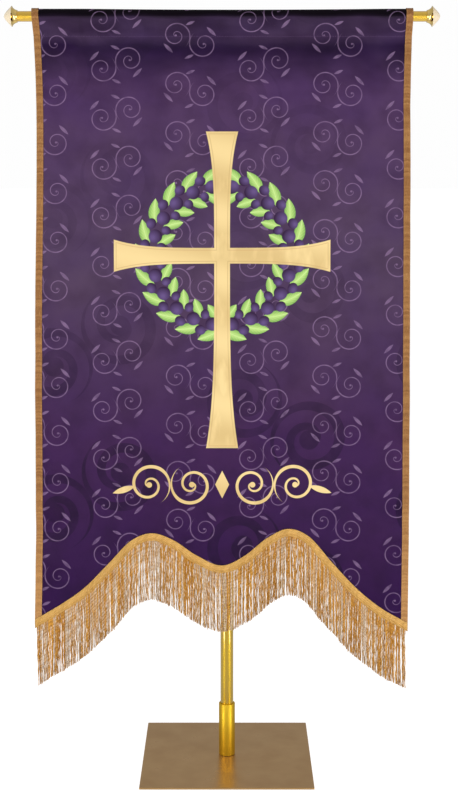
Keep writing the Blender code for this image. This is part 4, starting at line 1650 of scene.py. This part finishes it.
@dataclass(frozen=True)
class Studio:
    """Pale floor, soft light and the camera."""

    camera_place: Colour = (0.0052, -3.709, 1.498)
    camera_pitch: float = 3.307
    lens: float = 68.4
    shift_y: float = -0.1988
    lights: tuple[Softbox, ...] = (
        Softbox("left_light", (-2.5, -2.1, 0.3), (1.0, 3.4), 69.0, (0.0, 0.0, 0.3)),
        Softbox("right_light", (2.5, -2.1, 0.3), (1.0, 3.4), 69.0, (0.0, 0.0, 0.3)),
        Softbox("front_light_left", (-1.0, -4.3, 0.7), (0.6, 2.2), 20.0, (0.0, 0.0, 0.7)),
        Softbox("front_light_right", (1.0, -4.3, 0.7), (0.6, 2.2), 20.0, (0.0, 0.0, 0.7)),
    )
    # Height of a direction, and the light that comes from there
    sky: tuple[tuple[float, float], ...] = (
        (0.00, 0.9), (0.15, 0.75), (0.34, 0.5), (0.46, 0.56), (0.51, 0.5), (0.62, 0.48), (0.8, 0.52),
        (1.00, 0.66),
    )
    sky_behind: float = 0.95
    seen_sky: float = 0.99
    floor_size: float = 60.0
    floor_near: float = 0.5
    floor_far: float = 3.2
    floor_paint: tuple[float, float] = (0.7, 0.02)
    floor_glow: tuple[float, float] = (0.7, 0.975)

    def build(self) -> None:
        """Makes the floor, the lights, the sky and the camera."""
        self.floor()
        self.sky_light()
        for light in self.lights:
            light.build()
        camera = bpy.data.cameras.new("camera")
        camera.lens = self.lens
        camera.sensor_width = 36.0
        camera.shift_y = self.shift_y
        camera.clip_end = 100.0
        eye = link("camera", camera)
        eye.location = self.camera_place
        eye.rotation_euler = (math.radians(90.0 - self.camera_pitch), 0.0, 0.0)
        bpy.context.scene.camera = eye
        bpy.context.scene.view_settings.view_transform = "Standard"

    def floor(self) -> None:
        """Plain pale floor that glows more with distance, so that it runs into the white behind it."""
        shape = bmesh.new()
        bmesh.ops.create_grid(shape, x_segments=4, y_segments=4, size=self.floor_size)
        dress = Dress.named("floor_paint")
        x, y, _ = parted(dress.tree, dress.place(on_map=False))
        away = length_of(x, y).remap(self.floor_near, self.floor_far, 0.0, 1.0)
        tones = self.floor_paint, self.floor_glow
        paint, glow = (tinted(dress.tree, away, (near,) * 3, (far,) * 3) for near, far in tones)
        dress.set(Base_Color=paint, Roughness=0.9, Emission_Color=glow, Emission_Strength=1.0)
        floor = make_object("floor", shape, dress.material, None)
        floor.visible_glossy = False

    def sky_light(self) -> None:
        """Light from all round: pale at the horizon and dim overhead, and plain white where it is seen."""
        world = bpy.data.worlds.new("studio")
        world.use_nodes = True
        tree = world.node_tree
        place = Field(tree, tree.nodes.new("ShaderNodeTexCoord").outputs["Generated"])
        _, depth, height = parted(tree, place)
        stops = [(share, (light,) * 3) for share, light in self.sky]
        light = ramped(tree, height.remap(-1.0, 1.0, 0.0, 1.0), stops)
        light = shaded(tree, depth.remap(-0.5, 0.5, 0.0, 1.0), light, (self.sky_behind,) * 3)
        seen = Field(tree, tree.nodes.new("ShaderNodeLightPath").outputs["Is Camera Ray"])
        glow = tinted(tree, seen, light, (self.seen_sky,) * 3)
        feed(tree, glow, tree.nodes["Background"].inputs["Color"])
        bpy.context.scene.world = world


def build_banner(form: HangingForm) -> None:
    cloth = BannerCloth(form)
    sheet = cloth.build(SatinFinish())
    set_on_root(sheet, Slot.SATIN, "banner_cloth")
    braid_yarn = BRAID_YARN.material()
    sewn = []
    for side, node in ((-1, "trim_left"), (1, "trim_right")):
        braid = SideBraid(form, side).build(braid_yarn)
        set_on_root(braid, Slot.BRAID, node)
        sewn.append(braid)
    header = FringeHeader(form)
    header_yarn = HEADER_YARN.material()
    band = header.build(header_yarn)
    set_on_root(band, Slot.FRINGE, "fringe")
    strands = FringeStrands(header).build(FRINGE_YARN.material())
    set_on_root(strands, Slot.FRINGE)
    sewn += [band, strands]
    for row in Stitching(form, header).build(SEWING_THREAD.material(), header_yarn):
        set_on_root(row, Slot.SATIN if row.name == "seam_stitches" else Slot.FRINGE)
        sewn.append(row)
    width, length, area = cloth.flat_size()


def main() -> None:
    """Builds the stand, the banner and the picture round them."""
    logging.basicConfig(level=logging.INFO, format="%(message)s")
    form = HangingForm()
    FloorStand(form).build()
    build_banner(form)
    Studio().build()


if __name__ == "__main__":
    main()
